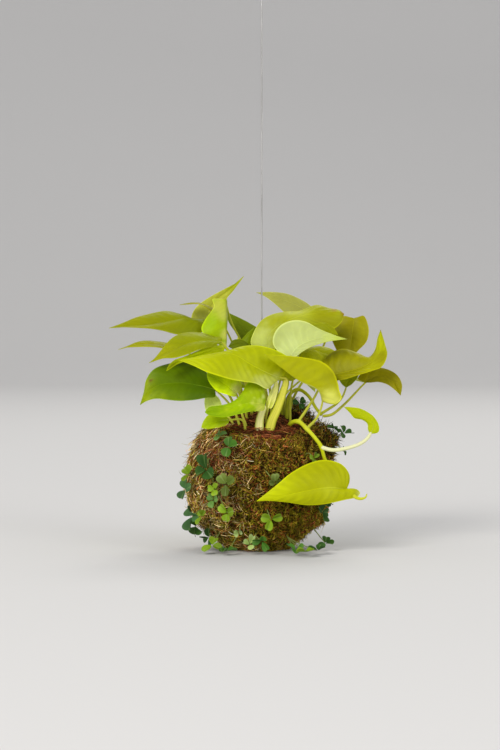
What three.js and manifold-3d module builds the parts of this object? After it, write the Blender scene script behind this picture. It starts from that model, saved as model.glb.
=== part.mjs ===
// A kokedama: a trailing pothos that grows from a soil ball wrapped in living moss. Clover-like sprigs grow
// through the moss, and a straight steel wire, on a bent foot in the soil, runs up to an eye loop.
// Millimetres, +Z up, +Y away from the viewer. The origin is the middle of the flat spot that the ball rests on.
import * as THREE from 'three';
import { mergeVertices } from 'three/addons/utils/BufferGeometryUtils.js';
import Module from 'manifold-3d';

const wasm = await Module();
wasm.setup();

// Driving dimensions
const BALL_RADIUS = 60; // to the mean face of the moss
const REST_CUT = 3; // how much of the ball the flat spot takes off
const MOSS_WALL = 9;
const CROWN_RADIUS = 29; // of the opening in the moss
const CROWN_RECESS = 3.5; // the coir lies this far under the moss
const GAP = 0.3; // between pieces that touch
const TOLERANCE = 0.03; // how far joined pieces are evened out
const HOLE_GAP = 0.45; // round a faceted stem in its hole
const BLADE = 0.8; // thickness of a leaf blade
const TREFOIL_BLADE = 0.7;
const SPRIG_RADIUS = 0.6;
const SPRIG_SINK = 5.5; // how deep a sprig stands in the moss
const SPRIG_FORK = 1.8; // how far above the moss its stems part
const PETIOLE_WIDTH = 3;
const PETIOLE_SINK = 14; // how deep a petiole stands in the soil
const VINE_RADIUS = 1.9;
const WIRE_DIAMETER = 1.2;
const WIRE_TOP = 468; // the end of the straight wire, in the sleeve of its eye
const WIRE_FOOT = 84; // where it turns into its foot, in the soil
const WIRE_FOOT_LENGTH = 14;
const WIRE_X = 3.2;
const WIRE_Y = 4;
const SLEEVE_LENGTH = 9;
const SLEEVE_RADIUS = 1.7;
const SLEEVE_HOLD = 5.4; // how much of the wire the sleeve takes in
const EYE_RADIUS = 5; // to the middle of the wire

const CENTRE = new THREE.Vector3(0, 0, BALL_RADIUS - REST_CUT);
const CROWN_AXIS = new THREE.Vector3(0.1, -0.3, 0.95).normalize();
const SOIL_RADIUS = BALL_RADIUS - MOSS_WALL;
const CAP_RADIUS = BALL_RADIUS - CROWN_RECESS;

const group = new THREE.Group();

const COLOURS = {
  moss: [0x6f6a24, 0.95],
  soil: [0x6b3a1e, 1.0],
  leaf: [0xb4c21a, 0.45],
  vine: [0xc4cf3a, 0.5],
  clover: [0x3f7a3a, 0.6],
  steel: [0x9a9a98, 0.35, 0.9],
};

// One named piece of the plant.
function piece(name, geometry, colour) {
  const [hex, roughness, metalness = 0] = COLOURS[colour];
  const mesh = new THREE.Mesh(geometry, new THREE.MeshStandardMaterial({ color: hex, roughness, metalness }));
  mesh.name = name;
  group.add(mesh);
}

const point = (p) => new THREE.Vector3(...p);

// Leaves and stems are placed in a front view taken from EYE. Their x and z are where the view shows them on the
// upright plane through the ball's middle, and y is how far behind that plane they are.
const EYE = point([-6.7, -2000, 216]);
const inView = ([x, y, z]) => EYE.clone().addScaledVector(point([x, 0, z]).sub(EYE), 1 - y / EYE.y);

// Solids from closed meshes, and back.
function solid(geometry) {
  const bare = geometry.index ? geometry.clone() : geometry;
  bare.deleteAttribute('normal');
  bare.deleteAttribute('uv');
  const merged = mergeVertices(bare, 1e-4);
  const vertProperties = new Float32Array(merged.attributes.position.array);
  const triVerts = new Uint32Array(merged.index.array);
  return new wasm.Manifold(new wasm.Mesh({ numProp: 3, vertProperties, triVerts }));
}

function geometryOf(manifold, tolerance = TOLERANCE) {
  const evened = tolerance > 0 ? manifold.simplify(tolerance) : manifold;
  const { vertProperties, triVerts } = evened.getMesh();
  const geometry = new THREE.BufferGeometry();
  geometry.setAttribute('position', new THREE.BufferAttribute(new Float32Array(vertProperties), 3));
  geometry.setIndex([...triVerts]);
  geometry.computeVertexNormals();
  return geometry;
}

// The largest of a manifold's separate bodies.
function largest(manifold) {
  return manifold.decompose().reduce((a, b) => (a.volume() > b.volume() ? a : b));
}

function indexed(points, triangles) {
  const geometry = new THREE.BufferGeometry().setFromPoints(points);
  geometry.setIndex(triangles);
  return geometry;
}

// A closed stem along a curve. size(t) is [half width, half depth]; across, if given, is the way the width runs.
function stem(curve, steps, sides, size, across) {
  const { tangents, normals } = curve.computeFrenetFrames(steps, false);
  const points = [];
  const triangles = [];
  for (let i = 0; i <= steps; i++) {
    const centre = curve.getPointAt(i / steps);
    const tangent = tangents[i];
    const side = across ? across.clone().addScaledVector(tangent, -tangent.dot(across)).normalize() : normals[i];
    const other = new THREE.Vector3().crossVectors(tangent, side);
    const [wide, deep] = size(i / steps);
    for (let j = 0; j < sides; j++) {
      const angle = (2 * Math.PI * (j + 0.5)) / sides;
      const rim = centre.clone().addScaledVector(side, wide * Math.cos(angle));
      points.push(rim.addScaledVector(other, deep * Math.sin(angle)));
    }
  }
  for (let i = 0; i < steps; i++) {
    for (let j = 0; j < sides; j++) {
      const [a, b] = [i * sides + j, i * sides + ((j + 1) % sides)];
      triangles.push(a, b, b + sides, a, b + sides, a + sides);
    }
  }
  const last = steps * sides;
  for (let j = 1; j < sides - 1; j++) {
    triangles.push(0, j + 1, j, last, last + j, last + j + 1);
  }
  return indexed(points, triangles);
}

// ---------------------------------------------------------------- the ball
// The moss is thicker on the right shoulder behind the crown, in a tuft on the right, and low on the right.
const MOSS_LUMPS = [
  { at: [0.5, 0.42, 0.76], height: 6, spread: 0.3 },
  { at: [0.9, -0.05, 0.5], height: 9, spread: 0.09 },
  { at: [0.82, 0, -0.5], height: 3, spread: 0.2 },
  { at: [-0.8, -0.1, 0.5], height: 2, spread: 0.2 },
];

// How far the moss reaches from the ball's centre in a direction.
function mossReach(way) {
  let reach = BALL_RADIUS;
  for (const { at, height, spread } of MOSS_LUMPS) {
    const off = 1 - way.dot(point(at).normalize());
    reach += height * Math.exp(-off / (spread * spread));
  }
  const [longitude, latitude] = [Math.atan2(way.y, way.x), Math.asin(way.z)];
  const ripple = Math.sin(5 * longitude + 1) * Math.cos(4 * latitude) + Math.sin(9 * longitude + 7 * latitude);
  return reach + 0.8 * ripple * Math.cos(latitude);
}

// A ball round CENTRE whose radius follows reach(way).
function ball(reach, segments, rings) {
  const geometry = new THREE.SphereGeometry(1, segments, rings);
  geometry.rotateX(Math.PI / 2);
  const place = geometry.attributes.position;
  for (let i = 0; i < place.count; i++) {
    const way = new THREE.Vector3().fromBufferAttribute(place, i).normalize();
    place.setXYZ(i, ...way.multiplyScalar(reach(way)).add(CENTRE));
  }
  return solid(geometry);
}

// The round way through the moss at the crown, from the ball's middle outwards.
function crownWay(radius) {
  const length = 2 * BALL_RADIUS;
  const geometry = new THREE.CylinderGeometry(radius, radius, length, 24);
  geometry.translate(0, length / 2, 0);
  geometry.applyQuaternion(new THREE.Quaternion().setFromUnitVectors(new THREE.Vector3(0, 1, 0), CROWN_AXIS));
  geometry.translate(...CENTRE);
  return solid(geometry);
}

// Everything below the surface that the ball rests on.
function under(height) {
  const size = 4 * BALL_RADIUS;
  return solid(new THREE.BoxGeometry(size, size, size).translate(0, 0, height - size / 2));
}

// The top of the coir over a place on the ground plan.
function coirTop(x, y) {
  return CENTRE.z + Math.sqrt(CAP_RADIUS ** 2 - x * x - y * y);
}

let soil = ball(() => SOIL_RADIUS, 20, 12);
soil = soil.add(ball(() => CAP_RADIUS, 20, 12).intersect(crownWay(CROWN_RADIUS)));
const cavity = ball(() => SOIL_RADIUS + GAP, 20, 12).add(crownWay(CROWN_RADIUS + GAP));
let moss = ball(mossReach, 30, 18).subtract(cavity).subtract(under(0));

// ---------------------------------------------------------------- leaves
// A blade is laid out on its midrib, from the petiole to the tip, and its two edges. Each edge runs from the
// petiole round a base lobe to the tip and is given by the places between. left and right are those of someone
// who looks along the midrib to the tip, with the upper face up.
const EDGE_STOPS = [0.05, 0.16, 0.31, 0.48, 0.66, 0.84];
const SHORT_EDGE_STOPS = [0.13, 0.3, 0.48, 0.66, 0.84]; // on leaves under SHORT_LEAF long
const SHORT_LEAF = 30;
const LOBE_SWEEP = 1.35; // how much later the midrib starts than the edges, round the lobes
const SIDE_STOPS = [1, 0.5, 0, -0.5, -1];
const BOW = 0.1; // how far each half arches between the midrib and the edge, as a share of its width

const through = (places) => new THREE.CatmullRomCurve3(places, false, 'centripetal');

// The way the upper face looks, at a share t of the way to the tip.
function upperWay(leaf, t) {
  const across = leaf.left.getPointAt(t).sub(leaf.right.getPointAt(t));
  return leaf.rib.getTangentAt(t).cross(across).normalize();
}

function bladePoint(leaf, t, v) {
  const onRib = leaf.rib.getPointAt(t ** LOBE_SWEEP);
  const reach = (v < 0 ? leaf.right : leaf.left).getPointAt(t).sub(onRib);
  const share = Math.abs(v);
  const bow = (leaf.bow ?? BOW) * reach.length() * 4 * share * (1 - share);
  return onRib.addScaledVector(reach, share).addScaledVector(upperWay(leaf, t), bow);
}

// The blade as a thin solid, its faces split alike above and below.
function blade(leaf) {
  const across = SIDE_STOPS.length;
  const stops = leaf.rib.getLength() < SHORT_LEAF ? SHORT_EDGE_STOPS : EDGE_STOPS;
  const top = [leaf.rib.getPoint(0), leaf.rib.getPoint(1)];
  for (const t of stops) {
    for (const v of SIDE_STOPS) {
      top.push(bladePoint(leaf, t, v));
    }
  }
  const [base, tip] = [0, 1];
  const at = (row, column) => 2 + row * across + column;
  const lastRow = stops.length - 1;
  const faces = [];
  for (let c = 0; c < across - 1; c++) {
    faces.push([base, at(0, c + 1), at(0, c)], [at(lastRow, c), at(lastRow, c + 1), tip]);
    for (let r = 0; r < lastRow; r++) {
      const [a, b, far, d] = [at(r, c), at(r, c + 1), at(r + 1, c + 1), at(r + 1, c)];
      const leftHalf = c < (across - 1) / 2;
      faces.push(...(leftHalf ? [[a, b, far], [a, far, d]] : [[a, b, d], [b, far, d]]));
    }
  }
  const outline = [base];
  stops.forEach((_, r) => outline.push(at(r, across - 1)));
  outline.push(tip);
  stops.forEach((_, r) => outline.push(at(lastRow - r, 0)));
  return slab(top, faces, outline, BLADE);
}

// A sheet of triangles, given its thickness on the side away from the faces. outline runs round its edge, with
// the sheet on its left as seen from the face side.
function slab(top, faces, outline, thickness) {
  const ups = top.map(() => new THREE.Vector3());
  for (const [a, b, c] of faces) {
    const normal = top[b].clone().sub(top[a]).cross(top[c].clone().sub(top[a]));
    [a, b, c].forEach((i) => ups[i].add(normal));
  }
  const bottom = top.map((p, i) => p.clone().addScaledVector(ups[i].normalize(), -thickness));
  const n = top.length;
  const triangles = faces.flatMap(([a, b, c]) => [a, b, c, a + n, c + n, b + n]);
  outline.forEach((a, i) => {
    const b = outline[(i + 1) % outline.length];
    triangles.push(a, a + n, b + n, a, b + n, b);
  });
  return indexed([...top, ...bottom], triangles);
}

// A petiole rises out of its root, arches over and meets the blade from below. It runs on under the midrib,
// except where the blade hangs back from its end.
function petiolePath(leaf, sink) {
  const [x, y, z = coirTop(x, y) - PETIOLE_SINK] = leaf.root;
  const start = leaf.on ? inView([x, y, z]) : point([x, y, z - sink]);
  const down = upperWay(leaf, 0.3).negate();
  const places = [start, ...(leaf.via ?? []).map(inView)];
  places.push(leaf.rib.getPointAt(0).addScaledVector(down, BLADE * 0.8));
  const arrival = places.at(-1).clone().sub(places.at(-2)).normalize();
  if (arrival.dot(leaf.rib.getTangentAt(0)) > 0) {
    places.push(leaf.rib.getPointAt(0.07).addScaledVector(down, BLADE * 0.6));
  }
  return through(places);
}

const rooted = []; // petioles and stems that stand in the soil, a little larger, for their holes
const onVine = {}; // stems that petioles grow from, a little larger, to cut the petioles with

function addLeaf(name, spec) {
  const leaf = { ...spec };
  leaf.rib = through(spec.rib.map(inView));
  for (const side of ['left', 'right']) {
    leaf[side] = through([spec.rib[0], ...spec[side], spec.rib.at(-1)].map(inView));
  }
  const [wide, deep] = leaf.petiole ?? [PETIOLE_WIDTH, PETIOLE_WIDTH];
  const across = leaf.across ? point(leaf.across) : null;
  const size = (extra) => (t) => [(wide / 2) * (1 - 0.45 * t) + extra, (deep / 2) * (1 - 0.45 * t) + extra];
  const petiole = (sink) => solid(stem(petiolePath(leaf, sink), 6, 4, size(sink), across));
  let body = solid(blade(leaf)).add(petiole(0));
  if (leaf.on) {
    body = largest(body.subtract(onVine[leaf.on]));
  } else {
    rooted.push(petiole(HOLE_GAP));
  }
  piece(name, geometryOf(body), 'leaf');
}

// A stem that petioles grow from, with a hole of its own in the soil.
function addVine(name, places, radius, steps) {
  const made = (extra) => {
    const [foot, ...rest] = places.map(inView);
    foot.z -= extra;
    const end = rest.at(-1);
    end.addScaledVector(end.clone().sub(rest.at(-2)).normalize(), extra);
    const size = (t) => [radius * (1 - 0.25 * t) + extra, radius * (1 - 0.25 * t) + extra];
    return stem(through([foot, ...rest]), steps, 8, size);
  };
  onVine[name] = solid(made(HOLE_GAP));
  rooted.push(onVine[name]);
  piece(name, made(0), 'vine');
}

// The trailing vine leaves the crown at the front right, climbs over the moss rim and hangs down beside the ball.
addVine('vine_trailing', [
  [22, -16, 94], [27, -20, 105], [34, -28, 107], [41, -35, 101], [49, -41, 92], [53, -43, 86], [56, -42, 76],
  [60, -40, 68],
], VINE_RADIUS, 16);

// The arching stem comes up behind the front petioles and bends over to the right.
addVine('stem_arching', [
  [22, -6, 94], [24, -5, 112], [27, -3, 130], [34, -4, 134], [42, -7, 129], [49, -9, 118], [54, -11, 112],
], 1.7, 14);

// The leaves in front
addLeaf('leaf_front_left', {
  root: [10, -32],
  via: [[14, -35, 107], [17.5, -36, 117], [21.5, -37, 131]],
  petiole: [7.5, 3], across: [1, 0, 0.3],
  rib: [[23.5, -38, 142], [8, -46, 147.8], [-6, -52, 155], [-22, -57, 164], [-44, -61, 161.5], [-66.5, -64, 158.7]],
  left: [[16, -42, 141], [8, -48, 134.5], [-2, -54, 139], [-14, -60, 141], [-27, -65, 143.5], [-42, -67, 148],
    [-55, -66, 154.5]],
  right: [[28, -34, 141], [34, -29, 145], [34, -29, 155], [26, -33, 161.5], [14, -38, 167.5], [0, -43, 170.7],
    [-12, -47, 170.5], [-27, -52, 166.8], [-45, -57, 163]],
});
addLeaf('leaf_front_right', {
  root: [41, -35, 101], on: 'vine_trailing',
  via: [[50, -40, 111]],
  rib: [[54, -44, 124], [50.5, -48, 133], [35, -53, 141], [20, -56, 152], [5, -58, 163.5]],
  left: [[59, -37, 126], [54, -32, 140], [40, -35, 148], [22, -43, 157]],
  right: [[58, -47, 122.3], [65, -50, 121.8], [70.5, -50, 127], [68.5, -48, 134], [67.5, -46, 139], [63, -43, 149],
    [54, -42, 157], [40, -46, 161], [22, -53, 162.5]],
});
addLeaf('leaf_front_glossy', {
  root: [2, -33],
  via: [[2.5, -37, 108]],
  petiole: [7, 2.6], across: [1, 0, -0.2],
  rib: [[6, -40, 121], [-8, -50, 122.5], [-22, -56, 118.5], [-34, -59, 116], [-44.8, -60, 115]],
  left: [[5, -42, 116.8], [-6, -52, 115.5], [-16, -57, 113.3], [-28, -60, 110.8], [-37, -61, 111.5],
    [-42.5, -61, 113]],
  right: [[6.5, -39, 128], [3, -41, 139], [-8, -45, 140], [-14, -50, 130.5], [-22, -53, 123.5], [-33, -57, 120.5],
    [-41, -59, 119.3]],
});
addLeaf('leaf_furled', {
  root: [6, -26],
  via: [[7, -31, 110]],
  rib: [[8.5, -36, 118], [10.5, -38.5, 125], [13, -39.5, 133], [15.6, -39, 143.5]],
  left: [[11.5, -35.5, 118.5], [14, -36, 123.5], [15.8, -36, 130], [16.8, -37.5, 138]],
  right: [[6.8, -35, 119], [7.5, -35.5, 125], [10.5, -36.5, 132], [13.8, -37.5, 138.5]],
});
addLeaf('leaf_front_small', {
  root: [-10, -32],
  via: [[-13, -36, 108]],
  rib: [[-24.5, -42, 108.5], [-32, -46, 108], [-40, -49, 105.5], [-47.8, -50, 101.8]],
  left: [[-25, -44, 105.5], [-31, -48, 102.7], [-38, -50, 101.3], [-44, -51, 100.9]],
  right: [[-27, -40, 112], [-35, -42, 114], [-42, -45, 112.5], [-46.5, -48, 106]],
});
addLeaf('leaf_front_inner', {
  root: [-5, -27],
  via: [[-13, -32, 112]],
  rib: [[-18, -38, 131], [-27, -41, 138], [-35, -43, 143.5], [-43, -44, 148]],
  left: [[-19, -40, 128], [-27, -43, 130], [-34, -44, 132.5], [-40, -45, 138.5], [-42.5, -45, 144]],
  right: [[-15, -37, 133], [-14, -36, 139], [-20, -36, 145], [-32, -38, 150]],
});

// The low left side
addLeaf('leaf_left_low', {
  root: [-12, -26],
  via: [[-20, -28, 116]],
  rib: [[-36, -30, 134], [-50, -36, 137.5], [-68, -41, 139.5], [-85, -44, 137], [-94, -45, 130], [-99.2, -46, 121]],
  left: [[-36, -33, 128], [-44, -38, 127], [-55, -43, 125], [-65, -47, 124.3], [-75, -49, 125.3],
    [-86, -49, 126.2], [-94, -48, 124]],
  right: [[-37, -27, 141], [-42, -26, 147], [-52, -28, 154], [-64, -31, 157.5], [-78, -36, 155], [-88, -40, 150.5],
    [-94, -42, 142], [-96, -44, 132]],
});
addLeaf('leaf_left_inner', {
  root: [-15, -20],
  via: [[-24, -23, 112]],
  rib: [[-33, -24, 121], [-36, -24, 124], [-40, -23, 128], [-44, -22, 131]],
  left: [[-39, -25, 119.5], [-43, -25, 123], [-44.5, -24, 127]],
  right: [[-31.5, -23, 125], [-34, -22, 130], [-40, -21, 133]],
});

// The left side
addLeaf('leaf_left_mid', {
  root: [-7, -19],
  via: [[-13, -22, 130], [-23, -27, 162]],
  rib: [[-30, -28, 174], [-45, -34, 175], [-62, -38, 172], [-78, -42, 164], [-91.5, -46, 156.5]],
  left: [[-36, -34, 171], [-45, -40, 168.5], [-60, -46, 163.5], [-70, -48, 160.8], [-80, -48, 160]],
  right: [[-31, -24, 178], [-37, -22, 178.5], [-45, -22, 181.3], [-57, -24, 182.6], [-67, -28, 180],
    [-74, -33, 175.5], [-80.5, -38, 168.3], [-87, -43, 160.2]],
});
addLeaf('leaf_left_tucked', {
  root: [-3, -11],
  via: [[-9, -13, 135], [-19, -15, 158]],
  rib: [[-27, -18, 170], [-42, -30, 166], [-56, -40, 161], [-67, -48, 157.2], [-77, -53, 149.7]],
  left: [[-30, -26, 165], [-45, -38, 161.5], [-58, -48, 158.5], [-66, -52, 156], [-72, -54, 152.8]],
  right: [[-29, -12, 171], [-40, -21, 170.5], [-52, -31, 166], [-62, -39, 161.7], [-70, -46, 159], [-75, -50, 154.5]],
});
addLeaf('leaf_left_thin', {
  root: [-15, -11],
  via: [[-22, -11, 125], [-42, -9, 153]],
  rib: [[-58, -8, 165], [-75, -12, 170.5], [-90, -15, 172], [-104, -18, 171], [-117.3, -20, 167.8]],
  left: [[-64, -17, 165], [-80, -22, 168.9], [-92, -23, 169.8], [-104, -22, 170], [-111, -21, 169.4]],
  right: [[-62, 0, 168], [-77, -2, 173], [-88, -6, 175], [-95, -9, 175.3], [-102, -13, 173.8], [-110, -17, 170.4]],
});
addLeaf('leaf_left_far', {
  root: [-11, -4],
  via: [[-14, -4, 125], [-30, 0, 168]],
  rib: [[-44, 4, 190], [-62, -2, 193.5], [-78, -7, 190.8], [-95, -11, 188], [-125, -16, 185.8]],
  left: [[-45, -2, 183], [-55, -7, 181], [-66, -12, 180.3], [-80, -16, 183.5], [-100, -18, 186], [-115, -17, 186.6]],
  right: [[-46, 10, 193], [-56, 8, 194], [-65, 7, 197.5], [-76, 4, 199.7], [-88, 0, 198.5], [-100, -5, 195.5],
    [-112, -10, 190.5]],
});

// The top left
addLeaf('leaf_top_tall', {
  root: [-9, 2],
  via: [[-12, 5, 125], [-30, 20, 165]],
  rib: [[-44, 24, 182], [-43, 25, 195], [-36, 26, 208], [-24, 26, 218], [-11.5, 25, 229.3]],
  left: [[-52, 22, 184], [-56, 20, 193], [-53.5, 20, 201], [-47.5, 21, 207], [-39, 22, 212.5], [-27, 23, 219],
    [-18.5, 24, 223.5]],
  right: [[-33, 22, 188], [-27.5, 21, 203], [-26, 21, 210.5], [-21, 23, 216.5], [-16.5, 24, 222.5]],
});
addLeaf('leaf_top_thin', {
  root: [-3, 6],
  via: [[-5, 8, 126], [-18, 13, 165], [-31, 8, 192]],
  rib: [[-36, 6, 199], [-42, 8, 203.5], [-49, 10, 206.3], [-57, 10, 206.3], [-65.7, 10, 205.3]],
  left: [[-38, 2, 199], [-44, 2, 203.5], [-51, 3, 205.8], [-59, 6, 205.8]],
  right: [[-36, 10, 201], [-43, 14, 204.8], [-51, 15, 206.7], [-59, 13, 206.4]],
});
addLeaf('leaf_top_rolled', {
  root: [-3, 0.5],
  via: [[-5, 3, 130], [-10, 13, 165], [-22, 12, 190]],
  rib: [[-27, -4, 209.5], [-26, -7, 196], [-26.3, -10, 181], [-26.5, -12, 167]],
  left: [[-26, 1, 207], [-25.5, 2, 196], [-26, -2, 182], [-26.3, -7, 173]],
  right: [[-33, -4, 210.5], [-38.5, -4, 208.5], [-43, -6, 199], [-47.5, -8, 190], [-47, -10, 183], [-41, -12, 177],
    [-33, -13, 171.5]],
});
addLeaf('leaf_back_dark', {
  root: [2.5, 8.5],
  via: [[2, 10, 126], [-3, 15, 152]],
  rib: [[0, 22, 172], [-7, 24, 180], [-15, 25, 188], [-27, 26, 199.5]],
  left: [[-6, 20, 168], [-13, 21, 172], [-16.5, 22, 179], [-21, 24, 185], [-25, 25, 191.5]],
  right: [[4, 24, 178], [2, 26, 184], [-6, 27, 189.3], [-15, 27, 194]],
});
addLeaf('leaf_back_low', {
  root: [-2, -6],
  via: [[-4, -6, 130]],
  rib: [[-8, -5, 168], [-13, -6, 171.5], [-18, -7, 172], [-25, -7, 170]],
  left: [[-9, -9, 166], [-15, -11, 167.5], [-21, -10, 168.5]],
  right: [[-8, -2, 171], [-14, -2, 175], [-21, -3, 175]],
});
addLeaf('leaf_back_edge', {
  root: [8, 0],
  via: [[6, -1, 130]],
  rib: [[-13, 4, 168], [-12, 5, 174], [-8, 7, 181], [-3, 11, 186.5]],
  left: [[-17.5, 6, 170], [-14, 7, 175.5], [-9, 9, 181.5]],
  right: [[-9, 3, 168], [-6, 5, 174], [-4, 8, 182]],
});

// The middle and top right
addLeaf('leaf_centre_pale', {
  root: [13, -17],
  via: [[17, -20, 135]],
  rib: [[26, -24, 160], [34, -28, 170], [52, -33, 177], [75, -36, 176.3]],
  left: [[31, -27, 161], [38, -31, 166], [48, -34, 171], [60, -36, 174.5], [69, -36, 175.7]],
  right: [[17, -20, 166], [12.5, -18, 173], [14, -18, 182], [20, -19, 189], [30, -21, 192.3], [40, -24, 191],
    [52, -29, 184.5], [64, -33, 179.8]],
});
addLeaf('leaf_centre_back', {
  root: [12, -7],
  via: [[10, -9, 135]],
  rib: [[8, -12, 165], [9, -13, 180], [25, -9, 192], [48, -2, 198], [72.3, 4, 197.5]],
  left: [[-2, -8, 166], [-6, -8, 173], [-3, -7, 183], [3, -5, 192], [12, -1, 197.3], [24, 2, 199.7], [36, 5, 200.5],
    [49, 7, 205], [60, 8, 202.3], [68, 7, 200.8]],
  right: [[14, -15, 168], [20, -15, 178], [36, -11, 186], [50, -5, 185], [62, 0, 184.5], [70, 3, 190.5]],
});
addLeaf('leaf_top_rear', {
  root: [15.5, 2.5],
  via: [[17, 5, 126], [34, 18, 165]],
  rib: [[44, 24, 197], [34, 26, 204], [20, 27, 209.5], [8, 28, 213.5], [-1.6, 28, 215.5]],
  left: [[43, 20, 192], [34, 20, 193], [24, 22, 197.5], [14, 25, 206], [6, 27, 212]],
  right: [[48, 28, 200], [42, 30, 206], [34, 31, 210.5], [24, 31, 214.5], [12, 30, 216]],
});
addLeaf('leaf_right_sliver', {
  root: [19, -1],
  via: [[22, -3, 130], [27, -12, 158]],
  rib: [[38, -14, 176], [47, -17, 186.5], [57, -19, 187.3], [67.5, -20, 179.4]],
  left: [[38, -11, 181], [47, -13, 187], [58, -14, 187], [65, -17, 183]],
  right: [[41, -19, 176], [50, -23, 182], [60, -24, 183]],
});

// The right side
addLeaf('leaf_right_inner', {
  root: [27, -12],
  via: [[28, -11, 135]],
  rib: [[35, -10, 159], [44, -7, 167], [54, -2, 165], [72, 4, 158]],
  left: [[34, -6, 163.5], [45, 0, 169.8], [54, 6, 170.3], [64, 8, 166.5]],
  right: [[38, -13, 156], [46, -12, 158], [56, -6, 157], [66, -1, 156]],
});
addLeaf('leaf_right_upturned', {
  root: [34, -28, 107], on: 'vine_trailing',
  via: [[46, -24, 125]],
  rib: [[58, -20, 146], [76, -25, 149], [92, -28, 155], [101, -25, 164], [103, -16, 184.5]],
  left: [[53, -14, 152], [55, -10, 159], [62, -10, 166], [72, -12, 168.3], [84, -16, 164.5], [93, -20, 161.3],
    [98, -17, 167], [100.5, -15, 178]],
  right: [[62, -27, 142], [72, -33, 142.3], [84, -35, 146], [96, -34, 150], [104, -31, 153.5], [108.5, -25, 163],
    [106.5, -18, 173]],
});
addLeaf('leaf_right_rear', {
  root: [25.5, -1],
  via: [[28, 0, 122], [50, 24, 160], [66, 42, 190]],
  rib: [[80.5, 36, 193], [79, 34, 180], [77, 32, 166], [74, 30, 154]],
  left: [[84, 36, 195.2], [89, 36, 195.5], [93, 35, 184], [92, 34, 175], [84, 32, 167.5], [78, 31, 160]],
  right: [[77, 38, 195.7], [72, 38, 195], [65, 38, 188], [61, 36, 178], [64, 34, 171], [69, 32, 162]],
});
addLeaf('leaf_right_small', {
  root: [53.5, -9, 114], on: 'stem_arching',
  via: [[60, -4, 118], [66, -1, 122], [71, 3, 128]],
  rib: [[74, 7, 135.5], [76, 9, 143], [77, 11, 151], [78, 13, 158]],
  left: [[70, 8, 139], [67, 10, 147], [70, 12, 154]],
  right: [[79, 8, 138.5], [85, 10, 147], [84, 12, 154]],
});
addLeaf('leaf_right_low', {
  root: [54, -12, 111.5], on: 'stem_arching',
  via: [[62, -15, 113], [72, -13, 121]],
  rib: [[90, -7, 139.8], [100, -7, 145], [112, -9, 143], [120, -12, 129]],
  left: [[84, 0, 143], [88, 4, 148.5], [98, 4, 152.5], [108, 2, 151.3], [117, -3, 146], [121, -9, 138]],
  right: [[94, -12, 139.8], [101, -15, 140.3], [109, -16, 138], [116, -15, 132.8]],
});

// The leaves of the trailing vine
addLeaf('leaf_trailing_large', {
  root: [59, -41, 69.5], on: 'vine_trailing',
  via: [[66, -40, 58]],
  rib: [[74.8, -47, 50.4], [57, -56, 51.2], [37.5, -63, 47.9], [15, -68, 43], [-1.7, -69, 39.8]],
  left: [[80, -46, 49], [90, -46, 46.5], [91.5, -47, 43.5], [83, -49, 42.8], [73, -51, 40.8], [57, -54, 37.6],
    [41, -59, 36.6], [25, -64, 38.9], [8.4, -68, 40.2]],
  right: [[77, -45, 56], [76.5, -44, 63], [70, -44, 71], [57, -48, 74.8], [44, -54, 72.3], [28, -61, 64],
    [15, -66, 53]],
});
addLeaf('leaf_trailing_young', {
  root: [52.5, -43, 85.5], on: 'vine_trailing',
  via: [[64, -46, 83], [84, -44, 87.5], [91, -43, 92]],
  rib: [[94.5, -43, 96.5], [97, -43, 104], [90, -44, 112], [80, -45, 116], [72, -45, 119.5]],
  left: [[92.5, -42, 100], [92, -42, 105], [88, -42, 108.3], [81, -43, 110], [77, -44, 114.5]],
  right: [[101, -42, 98], [101.8, -41, 103], [97, -42, 111.5], [86, -43, 118], [77, -44, 119.3]],
});

// The side away from the viewer
const REAR_LEAVES = [
  { root: [13.5, 7.5], turn: 66, out: 40, up: 150, length: 78, half: 25, drop: 18 },
  { root: [7.5, 9], turn: 84, out: 34, up: 171, length: 84, half: 22, drop: 22 },
  { root: [-7.5, 6.5], turn: 118, out: 40, up: 136, length: 74, half: 23, drop: 0 },
  { root: [-14, 1], turn: 148, out: 42, up: 147, length: 68, half: 21, drop: 12 },
  { root: [20.5, 4], turn: 38, out: 50, up: 145, length: 64, half: 20, drop: 5 },
];
REAR_LEAVES.forEach(({ root, turn, out, up, length, half, drop }, i) => {
  const angle = THREE.MathUtils.degToRad(turn);
  const at = (distance, height, side = 0) => [
    distance * Math.cos(angle) - side * Math.sin(angle),
    distance * Math.sin(angle) + side * Math.cos(angle),
    height,
  ];
  const edge = (side) => [
    at(out - length * 0.1, up - 1, side * 0.55), at(out + length * 0.05, up + 3, side * 0.95),
    at(out + length * 0.25, up + 7, side), at(out + length * 0.6, up + 2, side * 0.66),
    at(out + length * 0.85, up - drop * 0.5, side * 0.25),
  ];
  addLeaf(`leaf_rear_${i + 1}`, {
    root,
    via: [[root[0] * 1.1, root[1] * 1.1, 124], at(out * 0.6, up * 0.9)],
    rib: [
      at(out, up), at(out + length * 0.3, up + 7), at(out + length * 0.65, up + 1),
      at(out + length, up - drop),
    ],
    left: edge(half),
    right: edge(-half),
  });
});

// ---------------------------------------------------------------- sprigs in the moss
// A leaf of three notched leaflets round a small middle: how far along and across its leaflet each place of the
// outline lies, as a share of the leaflet's length.
const LEAFLET = [[0.55, -0.42], [0.95, -0.3], [0.82, 0], [0.95, 0.3], [0.55, 0.42]];
const TREFOIL_MIDDLE = 0.21;
const TREFOIL_DROOP = 0.18;

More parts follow.
